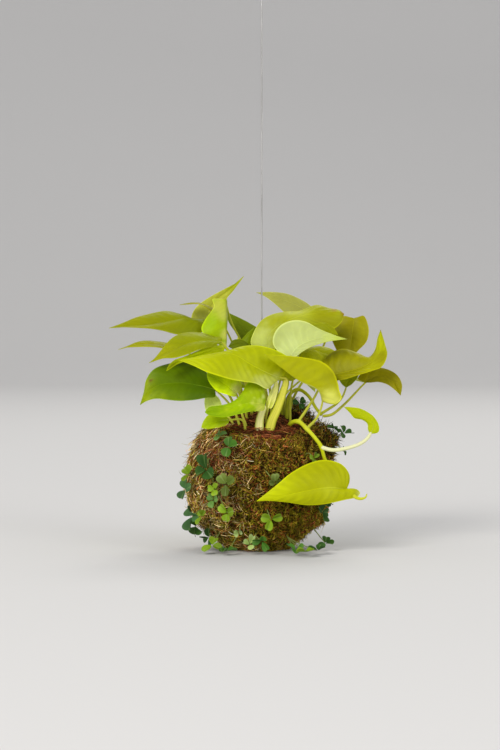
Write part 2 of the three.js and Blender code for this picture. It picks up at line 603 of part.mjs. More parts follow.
function trefoil(centre, facing, length, turn) {
  const up = facing.clone().normalize();
  const ahead = new THREE.Vector3(0, 0, 1).cross(up);
  if (ahead.length() < 0.1) {
    ahead.set(1, 0, 0);
  }
  ahead.addScaledVector(up, -ahead.dot(up)).normalize();
  const placed = (along, across, angle) => {
    const place = new THREE.Vector3(along, across, 0).multiplyScalar(length);
    place.applyAxisAngle(new THREE.Vector3(0, 0, 1), THREE.MathUtils.degToRad(angle));
    const side = new THREE.Vector3().crossVectors(up, ahead);
    const low = TREFOIL_DROOP * along * along * length;
    return centre.clone().addScaledVector(ahead, place.x).addScaledVector(side, place.y).addScaledVector(up, -low);
  };
  const top = [60, 180, 300].map((angle) => placed(TREFOIL_MIDDLE, 0, turn + angle));
  const faces = [[0, 1, 2]];
  const outline = [];
  for (let k = 0; k < 3; k++) {
    const first = top.length;
    LEAFLET.forEach(([along, across]) => top.push(placed(along, across, turn + 120 * k)));
    const [before, after, notch] = [(k + 2) % 3, k, first + 2];
    faces.push([notch, first + 3, first + 4], [notch, first + 4, after], [notch, after, before]);
    faces.push([notch, before, first], [notch, first, first + 1]);
    outline.push(before, first, first + 1, notch, first + 3, first + 4);
  }
  return solid(slab(top, faces, outline, TREFOIL_BLADE));
}

const sunkInMoss = []; // the stems of the sprigs, a little larger, for their holes

// A sprig grows out of the ball at root and forks just above the moss. Each of its leaves is a place, a leaflet
// length and a turn.
function addSprig(name, root, leaves) {
  const way = point(root).sub(CENTRE).normalize();
  const above = (height) => CENTRE.clone().addScaledVector(way, mossReach(way) + height);
  const shaft = (from, to, extra) => {
    return solid(stem(new THREE.LineCurve3(from, to), 1, 3, () => [SPRIG_RADIUS + extra, SPRIG_RADIUS + extra]));
  };
  const fork = above(SPRIG_FORK);
  let body = shaft(above(-SPRIG_SINK), fork, 0);
  sunkInMoss.push(shaft(above(-SPRIG_SINK - HOLE_GAP), above(3), HOLE_GAP));
  leaves.forEach(([x, y, z, length, turn, facing]) => {
    const centre = point([x, y, z]);
    const outward = centre.clone().sub(CENTRE).normalize().add(point([0, -0.2, 0.35]));
    const up = facing ? point(facing).normalize() : outward.normalize();
    const end = centre.clone().addScaledVector(up, -TREFOIL_BLADE * 0.8);
    body = body.add(shaft(fork.clone().addScaledVector(way, -0.5), end, 0)).add(trefoil(centre, up, length, turn));
  });
  piece(name, geometryOf(body), 'clover');
}

const FLAT = [0, -0.25, 1]; // leaves that lie on the surface the ball rests on

addSprig('clover_top_left', [-22, -40, 95], [[-24.5, -53, 89, 9.5, 0], [-32, -40, 97.5, 6.5, 30]]);
addSprig('clover_left_upper', [-36, -36, 76], [[-44, -49, 70.5, 11, 305], [-35.5, -54, 54.5, 5.5, 60]]);
addSprig('clover_left_face', [-30, -47, 52], [
  [-26, -62, 59, 8.5, 270], [-36.5, -53, 45.5, 6, 30], [-25.5, -56, 35, 7.5, 250],
]);
addSprig('clover_left_rim', [-55, -12, 62], [
  [-61.5, -22, 64.5, 6.5, 30, [-0.6, -0.7, 0.35]], [-63, -24, 51.5, 8, 0, [-0.6, -0.75, 0.2]],
]);
addSprig('clover_left_low', [-44, -25, 37], [
  [-53, -34, 31.5, 9.5, 10], [-51, -22, 21.5, 8, 100], [-59.5, -8, 24.5, 5.5, 30],
]);
addSprig('clover_left_foot', [-31, -27, 17], [
  [-41, -31, 12.5, 6.5, 80], [-38, -42, 7.5, 7.5, 100, [-0.2, -0.6, 0.75]],
]);
addSprig('clover_front_foot', [-18, -38, 14], [[-25, -54, 4.2, 8, 20, FLAT]]);
addSprig('clover_front_low', [-2, -44, 17], [
  [-7, -49, 8.5, 6.5, 180, [0, -0.8, 0.5]], [3, -50, 11.5, 7.5, 60],
]);
addSprig('clover_front', [8, -57, 36], [[10.5, -61, 30.5, 8.5, 25]]);
addSprig('clover_front_pale', [-14, -50, 26], [[-16, -55, 19, 4, 0]]);
addSprig('clover_behind_leaf', [6, -57, 69], [[15.2, -63, 60.3, 8, 80]]);
addSprig('clover_right_vine', [40, -36, 82], [[46, -40, 78.5, 5.5, 30]]);
addSprig('clover_right', [50, -22, 38], [[53, -33, 34, 8.5, 0], [59, -18, 42, 6, 85]]);
addSprig('clover_right_foot', [44, -12, 20], [[56, -19.5, 6.8, 7, 86, [0.1, -0.7, 0.6]]]);
addSprig('clover_right_front', [24, -34, 14], [
  [31, -52, 4.2, 8, 10, FLAT], [39, -65, 4.4, 8.5, 50, FLAT], [49, -52, 4.2, 7.5, 90, FLAT],
]);
addSprig('clover_crown_right', [32, 12, 108], [[34, 8, 119, 5.5, 40]]);
addSprig('clover_right_tuft', [56, -5, 88], [
  [64, -6, 101.5, 5.5, 20], [72, -4, 97.5, 6.5, 80], [72, -7, 82.5, 4.5, 50],
]);
addSprig('clover_back_left', [-30, 46, 78], [[-34, 56, 84, 8.5, 10], [-22, 62, 72, 8, 60]]);
addSprig('clover_back_right', [30, 48, 44], [[36, 56, 50, 8, 30], [24, 61, 37, 8.5, 90]]);

// ---------------------------------------------------------------- the wire
// It stands in the soil on a bent foot, runs straight up and ends in the crimped sleeve of an eye.
function wireRun(from, to, radius, steps) {
  const round = new THREE.Shape().absarc(0, 0, radius, 0, 2 * Math.PI);
  const options = { steps, curveSegments: 4, extrudePath: new THREE.LineCurve3(from, to), bevelEnabled: false };
  return solid(new THREE.ExtrudeGeometry(round, options));
}

function wireSolid(radius, extra) {
  const heel = point([WIRE_X, WIRE_Y, WIRE_FOOT - radius]);
  const toe = point([WIRE_X + WIRE_FOOT_LENGTH + extra, WIRE_Y, WIRE_FOOT]);
  const run = wireRun(heel, point([WIRE_X, WIRE_Y, WIRE_TOP]), radius, 30);
  return run.add(wireRun(heel.clone().setZ(WIRE_FOOT), toe, radius, 4));
}
piece('hanging_wire', geometryOf(wireSolid(WIRE_DIAMETER / 2, 0), 0), 'steel');
rooted.push(wireSolid(WIRE_DIAMETER / 2 + HOLE_GAP, HOLE_GAP));

function upright(radius, from, to, sides) {
  const rod = new THREE.CylinderGeometry(radius, radius, to - from, sides).rotateX(Math.PI / 2);
  return solid(rod.translate(WIRE_X, WIRE_Y, (from + to) / 2));
}

const sleeveFoot = WIRE_TOP - SLEEVE_HOLD;
const sleeveTop = sleeveFoot + SLEEVE_LENGTH;
const sleeve = upright(SLEEVE_RADIUS, sleeveFoot, sleeveTop, 12);
const bore = upright(WIRE_DIAMETER / 2 + HOLE_GAP, sleeveFoot - SLEEVE_LENGTH, WIRE_TOP + GAP, 8);
const ring = new THREE.TorusGeometry(EYE_RADIUS, WIRE_DIAMETER / 2, 6, 18).rotateX(Math.PI / 2);
const loop = solid(ring.translate(WIRE_X, WIRE_Y, sleeveTop + EYE_RADIUS - WIRE_DIAMETER / 4));
piece('wire_eye', geometryOf(sleeve.add(loop).subtract(bore)), 'steel');

// ---------------------------------------------------------------- soil and moss
for (const hole of rooted) {
  soil = soil.subtract(hole);
}
for (const hole of sunkInMoss) {
  moss = moss.subtract(hole);
}
piece('moss_jacket', geometryOf(moss), 'moss');
piece('soil_ball', geometryOf(soil), 'soil');

export default group;
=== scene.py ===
# A kokedama: a trailing pothos whose roots are bound in a ball of soil and living moss, with clover that has
# grown through the moss and a straight steel wire to hang it by. It stands here on its flat spot.
import math

import bpy
import numpy as np
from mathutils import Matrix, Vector


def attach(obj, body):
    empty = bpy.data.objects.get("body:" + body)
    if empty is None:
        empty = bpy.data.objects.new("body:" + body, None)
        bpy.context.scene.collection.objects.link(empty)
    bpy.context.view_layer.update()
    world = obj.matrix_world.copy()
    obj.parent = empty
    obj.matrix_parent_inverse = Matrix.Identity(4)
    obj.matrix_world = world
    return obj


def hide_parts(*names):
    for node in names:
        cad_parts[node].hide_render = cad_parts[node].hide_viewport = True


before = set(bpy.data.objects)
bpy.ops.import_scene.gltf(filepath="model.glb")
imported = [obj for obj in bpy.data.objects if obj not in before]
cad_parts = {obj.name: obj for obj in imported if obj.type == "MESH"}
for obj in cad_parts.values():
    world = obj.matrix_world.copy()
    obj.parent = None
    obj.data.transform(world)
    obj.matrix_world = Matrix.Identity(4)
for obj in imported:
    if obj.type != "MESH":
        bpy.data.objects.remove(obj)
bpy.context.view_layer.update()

# ------------------------------------------------------------------ the camera, floor and light
# The plant is seen from two metres away, a little above its middle. It stands on a pale floor that bends up
# into a wall far behind it, under a broad soft light from the upper left and a weaker one from the right.
EYE = np.array([-0.0067, -2.0, 0.216])  # the point that the plant's outlines are drawn from, in metres
CAMERA_PLACE, CAMERA_AIM, LENS = (-0.0067, -1.9988, 0.216), (-0.0067, 0, 0.1462), 114.3
LIGHT_AIM = (0, 0, 0.13)
FLOOR_SIZE, BEND_FROM, BEND_STEPS, BEND_STEP, WALL_HEIGHT = (9, 7, 1), 3, 8, 0.35, 4


def turn_to(thing, target):
    """Turns a camera or a light towards a place."""
    thing.rotation_euler = (Vector(target) - thing.location).to_track_quat("-Z", "Y").to_euler()


bpy.ops.object.select_all(action="DESELECT")
bpy.ops.object.camera_add(location=CAMERA_PLACE)
camera = bpy.context.object
camera.name = "viewing_camera"
turn_to(camera, CAMERA_AIM)
camera.data.lens = LENS
camera.data.clip_start = 0.05
bpy.context.scene.camera = camera

bpy.ops.mesh.primitive_plane_add(size=1, location=(0, 0, 0))
floor = bpy.context.object
floor.name = "studio_floor"
floor.scale = FLOOR_SIZE
bpy.ops.object.transform_apply(scale=True)
bpy.ops.object.mode_set(mode="EDIT")
bpy.ops.mesh.select_all(action="DESELECT")
bpy.ops.object.mode_set(mode="OBJECT")
for edge in floor.data.edges:
    edge.select = all(floor.data.vertices[i].co.y > BEND_FROM for i in edge.vertices)
bpy.ops.object.mode_set(mode="EDIT")
for step in range(BEND_STEPS):
    turned = math.radians(90 * (step + 0.5) / BEND_STEPS)
    rise = (0, BEND_STEP * math.cos(turned), BEND_STEP * math.sin(turned))
    bpy.ops.mesh.extrude_region_move(TRANSFORM_OT_translate={"value": rise})
bpy.ops.mesh.extrude_region_move(TRANSFORM_OT_translate={"value": (0, 0, WALL_HEIGHT)})
bpy.ops.object.mode_set(mode="OBJECT")
bpy.ops.object.shade_smooth()

paper = bpy.data.materials.new("pale_paper")
paper.use_nodes = True
matt = paper.node_tree.nodes["Principled BSDF"]
matt.inputs["Base Color"].default_value = (0.62, 0.61, 0.60, 1)
matt.inputs["Roughness"].default_value = 0.9
floor.data.materials.append(paper)

sky = bpy.data.worlds.new("studio_air")
sky.use_nodes = True
air = sky.node_tree.nodes["Background"]
air.inputs["Color"].default_value = (0.96, 0.97, 1.0, 1)
air.inputs["Strength"].default_value = 0.56
bpy.context.scene.world = sky


def soft_light(name, place, watts, size, colour):
    bpy.ops.object.light_add(type="AREA", location=place)
    lamp = bpy.context.object
    lamp.name = name
    lamp.data.energy = watts
    lamp.data.shape = "DISK"
    lamp.data.size = size
    lamp.data.color = colour
    turn_to(lamp, LIGHT_AIM)


soft_light("upper_left_light", (-2.0, -3.3, 2.3), 128, 1.8, (1.0, 0.98, 0.94))
soft_light("right_fill", (2.6, -2.6, 1.2), 34, 2.0, (1.0, 1.0, 1.0))
soft_light("high_back_light", (0.6, 2.4, 3.0), 44, 1.5, (1.0, 0.99, 0.95))
bpy.context.scene.view_settings.view_transform = "Standard"

# ------------------------------------------------------------------ the hanging wire
# One straight length of thin stainless wire. It stands in the soil on a short bent foot and leaves the crown
# between the petioles. Its far end lies in the crimped sleeve of the eye above it.
MM = 0.001
WIRE_PLACE = (3.2 * MM, 4 * MM)
WIRE_RADIUS = 0.6 * MM
WIRE_ROWS = 120
WIRE_ROUTE = [(17.2, 4, 84), (14, 4, 84), (10.5, 4, 84), (7, 4, 84), (4.4, 4, 84.2), (3.2, 4, 85.4), (3.2, 4, 95),
              (3.2, 4, 120), (3.2, 4, 160), (3.2, 4, 205), (3.2, 4, 250), (3.2, 4, 300), (3.2, 4, 350),
              (3.2, 4, 400), (3.2, 4, 440), (3.2, 4, 468)]


def linear(red, green, blue):
    """A colour as it is seen, with each channel from 0 to 255, as the light that it stands for."""
    seen = np.array([red, green, blue]) / 255
    return tuple(np.where(seen <= 0.04045, seen / 12.92, ((seen + 0.055) / 1.055) ** 2.4)) + (1.0,)


def tone(colour):
    """The same as three plain channels."""
    return np.array(linear(*colour)[:3])


def new_finish(name, roughness, **sockets):
    """A material with a plain Principled shader. Values that are the same all over sit on its sockets."""
    finish = bpy.data.materials.new(name)
    finish.use_nodes = True
    shader = finish.node_tree.nodes["Principled BSDF"]
    shader.inputs["Roughness"].default_value = roughness
    for socket, value in sockets.items():
        shader.inputs[socket.replace("_", " ")].default_value = value
    return finish, finish.node_tree.nodes, finish.node_tree.links, shader


def node(nodes, kind, operation=None, **values):
    """A new shader node, with its mode and the values of its sockets, by name or by number, such as _1=0.5."""
    made = nodes.new("ShaderNode" + kind)
    if operation:
        if hasattr(made, "operation"):
            made.operation = operation
        else:
            made.blend_type = operation
    for key, value in values.items():
        made.inputs[int(key[1:]) if key[1:].isdigit() else key].default_value = value
    return made


def ramp(nodes, low, high, start, end):
    """A ramp from one colour to another, between two levels."""
    made = node(nodes, "ValToRGB")
    for stop, colour, level in zip(made.color_ramp.elements, (low, high), (start, end)):
        stop.color = linear(*colour)
        stop.position = level
    return made


def chain(links, *steps):
    """Links one node to another in each step, by their first sockets or by the ones that follow their names."""
    for step in steps:
        out, leaving, into, entering = step if len(step) == 4 else (step[0], 0, step[1], 0)
        links.new(out.outputs[leaving], into.inputs[entering])


def unit(vectors):
    """Vectors of the same direction and of length 1."""
    return vectors / np.linalg.norm(vectors, axis=-1, keepdims=True)


def points_of(piece):
    flat = np.empty(len(piece.data.vertices) * 3)
    piece.data.vertices.foreach_get("co", flat)
    return flat.reshape(-1, 3)


def move_points(piece, places):
    piece.data.vertices.foreach_set("co", np.ascontiguousarray(places).ravel())
    piece.data.update()


def weld(threshold, turn_out=True):
    """Joins the points of the active piece that lie together, and turns its faces outwards."""
    bpy.ops.object.mode_set(mode="EDIT")
    bpy.ops.mesh.select_all(action="SELECT")
    bpy.ops.mesh.remove_doubles(threshold=threshold)
    if turn_out:
        bpy.ops.mesh.normals_make_consistent(inside=False)
    bpy.ops.object.mode_set(mode="OBJECT")


def rest_at_origin(piece, slot, *nodes):
    """A finished piece: its place goes into its mesh, and it rides on the plant's one body."""
    bpy.ops.object.select_all(action="DESELECT")
    piece.select_set(True)
    bpy.context.view_layer.objects.active = piece
    bpy.ops.object.transform_apply(location=True, rotation=True, scale=True)
    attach(piece, "root")
    if nodes:
        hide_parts(*nodes)


steel, nodes, links, shader = new_finish("drawn_steel", 0.38, Metallic=0.75)
where = node(nodes, "TexCoord")
drawn = node(nodes, "TexNoise", Scale=900.0, Detail=3.0)
stretch = node(nodes, "Mapping", Scale=(1, 1, 0.04))
greys = ramp(nodes, (138, 137, 134), (196, 195, 192), 0.3, 0.7)
scratch = node(nodes, "Bump", Strength=0.25, Distance=0.00005)
chain(links, (where, "Object", stretch, 0), (stretch, 0, drawn, "Vector"), (drawn, "Fac", greys, 0),
      (greys, 0, shader, "Base Color"), (drawn, "Fac", scratch, "Height"), (scratch, 0, shader, "Normal"))


def wrap_tube(name, rows, columns, centres, radii, across=None, groove=0.0):
    """A closed round or oval stem: a flat grid rolled about the line of centres, its two ends drawn together.
    radii gives half the width and half the depth at each row, across is the way the width runs, and groove is
    how much of the depth a channel down the middle of both broad faces takes."""
    bpy.ops.mesh.primitive_grid_add(x_subdivisions=columns, y_subdivisions=rows, size=1)
    tube = bpy.context.object
    tube.name = tube.data.name = name
    flat = points_of(tube)
    row = np.rint((flat[:, 1] + 0.5) * rows).astype(int)
    turn = 2 * math.pi * (flat[:, 0] + 0.5)
    ways = unit(np.gradient(centres, axis=0))
    sides = np.empty_like(ways)
    side = np.array(across if across is not None else np.cross(ways[0], (0.3, 0.5, 0.2)), float)
    for i, way in enumerate(ways):
        if across is not None:
            side = np.array(across, float)
        side = unit(side - way * side.dot(way))
        sides[i] = side
    others = np.cross(ways, sides)
    spread = np.where((row == 0) | (row == rows), 0.0, 1.0)
    depth = np.sin(turn) * (1 - groove * np.exp(-(np.cos(turn) / 0.3) ** 2))
    placed = (centres[row] + sides[row] * (radii[row, 0] * np.cos(turn) * spread)[:, None]
              + others[row] * (radii[row, 1] * depth * spread)[:, None])
    move_points(tube, placed)
    weld(1e-7)
    bpy.ops.object.shade_smooth()
    return tube


route = np.array(WIRE_ROUTE) * MM
legs = np.concatenate([[0], np.cumsum(np.linalg.norm(np.diff(route, axis=0), axis=1))])
along = np.linspace(0, legs[-1], WIRE_ROWS + 1)
wire_line = np.stack([np.interp(along, legs, route[:, k]) for k in range(3)], axis=1)
wire = wrap_tube("straight_wire", WIRE_ROWS, 12, wire_line, np.full((WIRE_ROWS + 1, 2), WIRE_RADIUS))
wire.data.materials.append(steel)
rest_at_origin(wire, "wire", "hanging_wire")

# ------------------------------------------------------------------ the eye of the wire
# A closed ring of the same wire, held by a plain crimped sleeve with two pinched waists. The wire's end is
# inside the sleeve, so the whole ball hangs from the ring.
SLEEVE_FROM, SLEEVE_TO, SLEEVE_RADIUS, RING_RADIUS = 462.6 * MM, 471.6 * MM, 1.7 * MM, 5 * MM
WAISTS, WAIST_DEPTH, WAIST_LENGTH = (0.3, 0.7), 0.22, 0.09  # as shares of the sleeve


def cut_rings(heights, middle=(0, 0)):
    """Cuts rings of points round the piece that is being edited, at some heights."""
    for height in heights:
        bpy.ops.mesh.select_all(action="SELECT")
        bpy.ops.mesh.bisect(plane_co=(*middle, height), plane_no=(0, 0, 1))


def join(parts, whole):
    """Makes one piece of several. It keeps the name of the one called whole."""
    bpy.ops.object.select_all(action="DESELECT")
    for part in parts:
        part.select_set(True)
    bpy.context.view_layer.objects.active = whole
    bpy.ops.object.join()


bpy.ops.mesh.primitive_cylinder_add(
    vertices=28, radius=SLEEVE_RADIUS, depth=SLEEVE_TO - SLEEVE_FROM,
    location=(*WIRE_PLACE, (SLEEVE_FROM + SLEEVE_TO) / 2),
)
sleeve = bpy.context.object
sleeve.name = "crimped_eye"
bpy.ops.object.transform_apply(location=True)
bpy.ops.object.mode_set(mode="EDIT")
cut_rings(np.linspace(SLEEVE_FROM, SLEEVE_TO, 16)[1:-1], WIRE_PLACE)
bpy.ops.object.mode_set(mode="OBJECT")
for vertex in sleeve.data.vertices:
    share = (vertex.co.z - SLEEVE_FROM) / (SLEEVE_TO - SLEEVE_FROM)
    pinch = 1 - WAIST_DEPTH * max(math.exp(-((share - at) / WAIST_LENGTH) ** 2) for at in WAISTS)
    for axis, middle in enumerate(WIRE_PLACE):
        vertex.co[axis] = middle + (vertex.co[axis] - middle) * (pinch if axis else 2 - pinch - 0.06)
bevel = sleeve.modifiers.new("rounded_rims", "BEVEL")
bevel.width = 0.2 * MM
bevel.segments = 2
bevel.angle_limit = math.radians(50)
bpy.ops.object.modifier_apply(modifier="rounded_rims")
bpy.ops.mesh.primitive_torus_add(
    location=(*WIRE_PLACE, SLEEVE_TO + RING_RADIUS - WIRE_RADIUS / 2), rotation=(math.pi / 2, 0, 0),
    major_radius=RING_RADIUS, minor_radius=WIRE_RADIUS, major_segments=56, minor_segments=12,
)
join((bpy.context.object, sleeve), sleeve)
bpy.ops.object.shade_smooth_by_angle(angle=math.radians(40))
sleeve.data.materials.append(steel)
rest_at_origin(sleeve, "wire", "wire_eye")

# ------------------------------------------------------------------ the soil ball and its coir
# Dark clay soil mixed with coir fibre, pressed into a ball. Only its crown shows, inside the ring of moss: a
# mat of red-brown coir with a few bare roots laid over its front edge.
BALL_HEIGHT = 57  # of the ball's middle, in millimetres
BALL_MIDDLE = np.array([0, 0, BALL_HEIGHT]) * MM
CROWN_WAY = unit(np.array([0.1, -0.3, 0.95]))
COIR_REACH, SOIL_REACH = 56.2 * MM, 50.5 * MM


def spread_tint(nodes, links, attribute, amount, scale, detail=3.0):
    """The piece's own colour attribute, made a little lighter and darker from place to place."""
    own = node(nodes, "Attribute")
    own.attribute_name = attribute
    where = node(nodes, "TexCoord")
    cloud = node(nodes, "TexNoise", Scale=scale, Detail=detail)
    level = node(nodes, "MapRange", _3=1 - amount, _4=1 + amount)
    shaded = node(nodes, "VectorMath", "MULTIPLY")
    chain(links, (where, "Object", cloud, "Vector"), (cloud, "Fac", level, 0), (own, "Color", shaded, 0),
          (level, 0, shaded, 1))
    return shaded


def paint(piece, attribute, colours):
    """Gives each point of a piece its colour."""
    layer = piece.data.color_attributes.get(attribute)
    layer = layer or piece.data.color_attributes.new(attribute, "FLOAT_COLOR", "POINT")
    filled = np.ones((len(piece.data.vertices), 4))
    filled[:, :3] = np.asarray(colours)[..., :3]
    layer.data.foreach_set("color", filled.ravel())


def round_sheet(name, subdivisions):
    """A round sheet, and the direction of each of its points from its middle."""
    bpy.ops.object.select_all(action="DESELECT")
    bpy.ops.mesh.primitive_ico_sphere_add(subdivisions=subdivisions, radius=1)
    sheet = bpy.context.object
    sheet.name = name
    return sheet, unit(points_of(sheet))


def waves(places, scale, seed):
    """A smooth unevenness between -1 and 1 over places in metres, made of crossed waves of about that length."""
    draw = np.random.default_rng(seed)
    total = np.zeros(len(places))
    for octave in range(4):
        for _ in range(5):
            way = draw.normal(size=3)
            way *= 2 * math.pi * 1.8 ** octave / (scale * np.linalg.norm(way))
            total += np.sin(places @ way + draw.uniform(0, 6.3)) * 0.62 ** octave
    return np.clip(total / 4.2, -1, 1)


coir_mat, ways = round_sheet("coir_and_soil", 6)
over = np.clip((ways @ CROWN_WAY - 0.78) / 0.06, 0, 1)
reach = SOIL_REACH + (COIR_REACH - SOIL_REACH) * over
reach += over * MM * (1.0 * waves(ways * COIR_REACH, 0.014, 3) + 0.5 * waves(ways * COIR_REACH, 0.004, 4))
move_points(coir_mat, BALL_MIDDLE + ways * reach[:, None])
bpy.ops.object.shade_smooth()

coir, nodes, links, shader = new_finish("coir_and_clay", 0.95, Specular_IOR_Level=0.1)
where = node(nodes, "TexCoord")
crumb = node(nodes, "TexNoise", Scale=420.0, Detail=6.0, Roughness=0.7)
browns = ramp(nodes, (22, 11, 6), (92, 46, 24), 0.36, 0.72)
grain = node(nodes, "Bump", Strength=0.8, Distance=0.0006)
chain(links, (where, "Object", crumb, "Vector"), (crumb, "Fac", browns, 0), (browns, 0, shader, "Base Color"),
      (crumb, "Fac", grain, "Height"), (grain, 0, shader, "Normal"))
coir_mat.data.materials.append(coir)
rest_at_origin(coir_mat, "soil", "soil_ball")

# A fibre is a drawn-out, three-sided spike, in four lengths if it is long and in two if it is short. Each kind
# is made once and copied along the lines that the fibres lie on.
SPIKES = {}
for kind, heights in (("long", (0.3, 0.6, 0.82)), ("short", (0.5,))):
    bpy.ops.object.select_all(action="DESELECT")
    bpy.ops.mesh.primitive_cone_add(vertices=3, radius1=1, radius2=0, depth=1, location=(0, 0, 0.5))
    bpy.ops.object.transform_apply(location=True)
    bpy.ops.object.mode_set(mode="EDIT")
    cut_rings(heights)
    bpy.ops.mesh.select_all(action="SELECT")
    bpy.ops.mesh.quads_convert_to_tris()
    bpy.ops.object.mode_set(mode="OBJECT")
    fibre = bpy.context.object
    SPIKES[kind] = points_of(fibre), np.array([list(face.vertices) for face in fibre.data.polygons])
    bpy.data.objects.remove(fibre)


def lay_fibres(name, roots, ways, ups, lengths, widths, lift, sag, curl, tints, finish, kind="long"):
    """One piece of many loose fibres. Each starts at its root and runs along its way, rises by lift, falls back
    by sag and swings aside by curl, all as shares of its length. Its tip is a little lighter, and it is painted
    darker towards its root, as shade deep in the tangle."""
    ways = unit(ways - ups * np.sum(ways * ups, axis=1)[:, None])
    asides = np.cross(ups, ways)
    points, corners_of = SPIKES[kind]
    s = points[:, 2]
    full = np.array([1 - 0.55 * v for v in s]) / np.maximum(1 - s, 1e-3) * (s < 0.999)
    round_x, round_y = points[:, 0] * full, points[:, 1] * full
    long = lengths[:, None]
    centre = (roots[:, None, :] + ways[:, None, :] * (long * s)[..., None]
              + ups[:, None, :] * (long * (lift[:, None] * s - sag[:, None] * s * s))[..., None]
              + asides[:, None, :] * (long * curl[:, None] * s * s)[..., None])
    placed = (centre + asides[:, None, :] * (widths[:, None] * round_x)[..., None]
              + ups[:, None, :] * (widths[:, None] * round_y)[..., None])
    count, corners = len(roots), len(s)
    placed = placed.reshape(-1, 3)
    placed[:, 2] = np.maximum(placed[:, 2], 0.2 * MM)
    faces = (corners_of[None] + (np.arange(count) * corners)[:, None, None]).reshape(-1, 3)
    mesh = bpy.data.meshes.new(name)
    mesh.vertices.add(len(placed))
    mesh.vertices.foreach_set("co", placed.ravel())
    mesh.loops.add(faces.size)
    mesh.loops.foreach_set("vertex_index", faces.ravel())
    mesh.polygons.add(len(faces))
    mesh.polygons.foreach_set("loop_start", np.arange(0, faces.size, 3))
    mesh.update(calc_edges=True)
    piece = bpy.data.objects.new(name, mesh)
    bpy.context.scene.collection.objects.link(piece)
    # Each fibre is painted darker towards its root, as shade deep in the tangle.
    paint(piece, "tint", (tints[:, None, :] * (0.35 + 1.0 * s)[None, :, None]).reshape(-1, 3))
    piece.data.materials.append(finish)
    return piece


fibrous, nodes, links, shader = new_finish("dry_fibre", 0.85, Specular_IOR_Level=0.12)
chain(links, (spread_tint(nodes, links, "tint", 0.25, 500.0), 0, shader, "Base Color"))


def mixed_tints(draw, count, shades, shares, change=0.18):
    """A colour for each of count fibres, drawn from a few shades."""
    picked = np.array([tone(shade) for shade in shades])[draw.choice(len(shades), count, p=shares)]
    return picked * (1 + draw.uniform(-change, change, (count, 1)))


COIR_FIBRES = 6200
draw = np.random.default_rng(11)
first = unit(np.cross(CROWN_WAY, (0.0, 0.0, 1.0)))
second = np.cross(CROWN_WAY, first)
angle = draw.uniform(0, 2 * math.pi, COIR_FIBRES)
off = 0.57 * np.sqrt(draw.uniform(0, 1, COIR_FIBRES))
out = unit(CROWN_WAY + first * (off * np.cos(angle))[:, None] + second * (off * np.sin(angle))[:, None])
run = draw.normal(size=(COIR_FIBRES, 3)) * (1.0, 0.34, 0.4)
starts = BALL_MIDDLE + out * (COIR_REACH + 0.2 * MM)
# Painted light and shade: the coir fibres are made darker and lighter together in clumps a few millimetres wide.
shadow = np.clip(1 + 1.2 * waves(starts, 0.0045, 12), 0.2, 2)
coir_fibres = lay_fibres(
    "coir_fibres", starts, run, out,
    draw.uniform(5, 15, COIR_FIBRES) * MM, draw.uniform(0.2, 0.42, COIR_FIBRES) * MM,
    draw.uniform(0.0, 0.36, COIR_FIBRES), draw.uniform(0.1, 0.3, COIR_FIBRES),
    draw.uniform(-0.4, 0.4, COIR_FIBRES),
    mixed_tints(draw, COIR_FIBRES, [(124, 62, 28), (82, 42, 18), (166, 102, 60), (42, 22, 12), (98, 82, 28)],
                [0.3, 0.22, 0.16, 0.2, 0.12], 0.3) * shadow[:, None], fibrous)
rest_at_origin(coir_fibres, "soil", "soil_ball")

# Bare roots of the pothos lie across the front of the coir, some light and some red-brown.
BARE_ROOTS = [
    ((-11, 93.5), (0, 99), (20, 97), 1.1, (159, 98, 61)), ((-10, 91.5), (-2, 93), (11, 90.5), 1.2, (173, 125, 86)),
    ((-4, 96), (8, 99), (20, 96.5), 0.9, (126, 62, 34)), ((4, 94), (14, 97), (24, 92), 1.0, (135, 65, 34)),
    ((10, 101), (20, 103), (29, 98), 0.8, (126, 65, 36)), ((-18, 95), (-10, 98), (-2, 95), 0.8, (126, 70, 39)),
    ((31, 103), (27, 97), (20, 89), 1.2, (133, 77, 43)), ((32, 101), (29, 95), (24, 89), 1.0, (148, 90, 54)),
    ((30, 99), (25, 94), (16, 90), 0.9, (118, 55, 28)), ((-6, 100), (4, 102), (14, 99), 0.8, (101, 45, 22)),
    ((-14, 99), (-6, 95), (3, 94), 0.8, (160, 106, 66)), ((2, 91), (10, 94), (18, 92), 0.9, (155, 92, 55)),
    ((-2, 98), (6, 95), (16, 97), 0.8, (143, 80, 46)),
]
ROOT_RISE, ROOT_SINK, ROOT_WIGGLE, ROOT_ROWS = 1.6 * MM, 3.5 * MM, 0.5 * MM, 24
roots = []
for number, (*stops, thick, colour) in enumerate(BARE_ROOTS):
    course = []
    for x, z in stops:
        flat_way = np.array([x, 0, z - BALL_HEIGHT]) * MM
        depth = math.sqrt((COIR_REACH + 1.8 * MM) ** 2 - flat_way @ flat_way)
        course.append(BALL_MIDDLE + flat_way + (0, -depth, 0))
    bow = np.linspace(0, 1, ROOT_ROWS + 1)[:, None]
    course = course[0] * (1 - bow) ** 2 + course[1] * 2 * bow * (1 - bow) + course[2] * bow ** 2
    wiggle = np.stack([waves(course, 0.012, 60 + number + k) for k in range(3)], axis=1) * ROOT_WIGGLE
    outward = unit(course - BALL_MIDDLE)
    course = BALL_MIDDLE + outward * (COIR_REACH + ROOT_RISE) + wiggle
    course[0] -= outward[0] * ROOT_SINK
    course[-1] -= outward[-1] * ROOT_SINK
    strand = wrap_tube("bare_root", ROOT_ROWS, 8, course, np.full((ROOT_ROWS + 1, 2), thick / 2 * MM))
    uneven = 1 + 0.2 * waves(points_of(strand), 0.006, number)
    paint(strand, "tint", tone(colour) * uneven[:, None])
    strand.data.materials.append(fibrous)
    roots.append(strand)
join(roots, roots[0])
roots[0].name = roots[0].data.name = "bare_roots"
rest_at_origin(roots[0], "soil", "soil_ball")

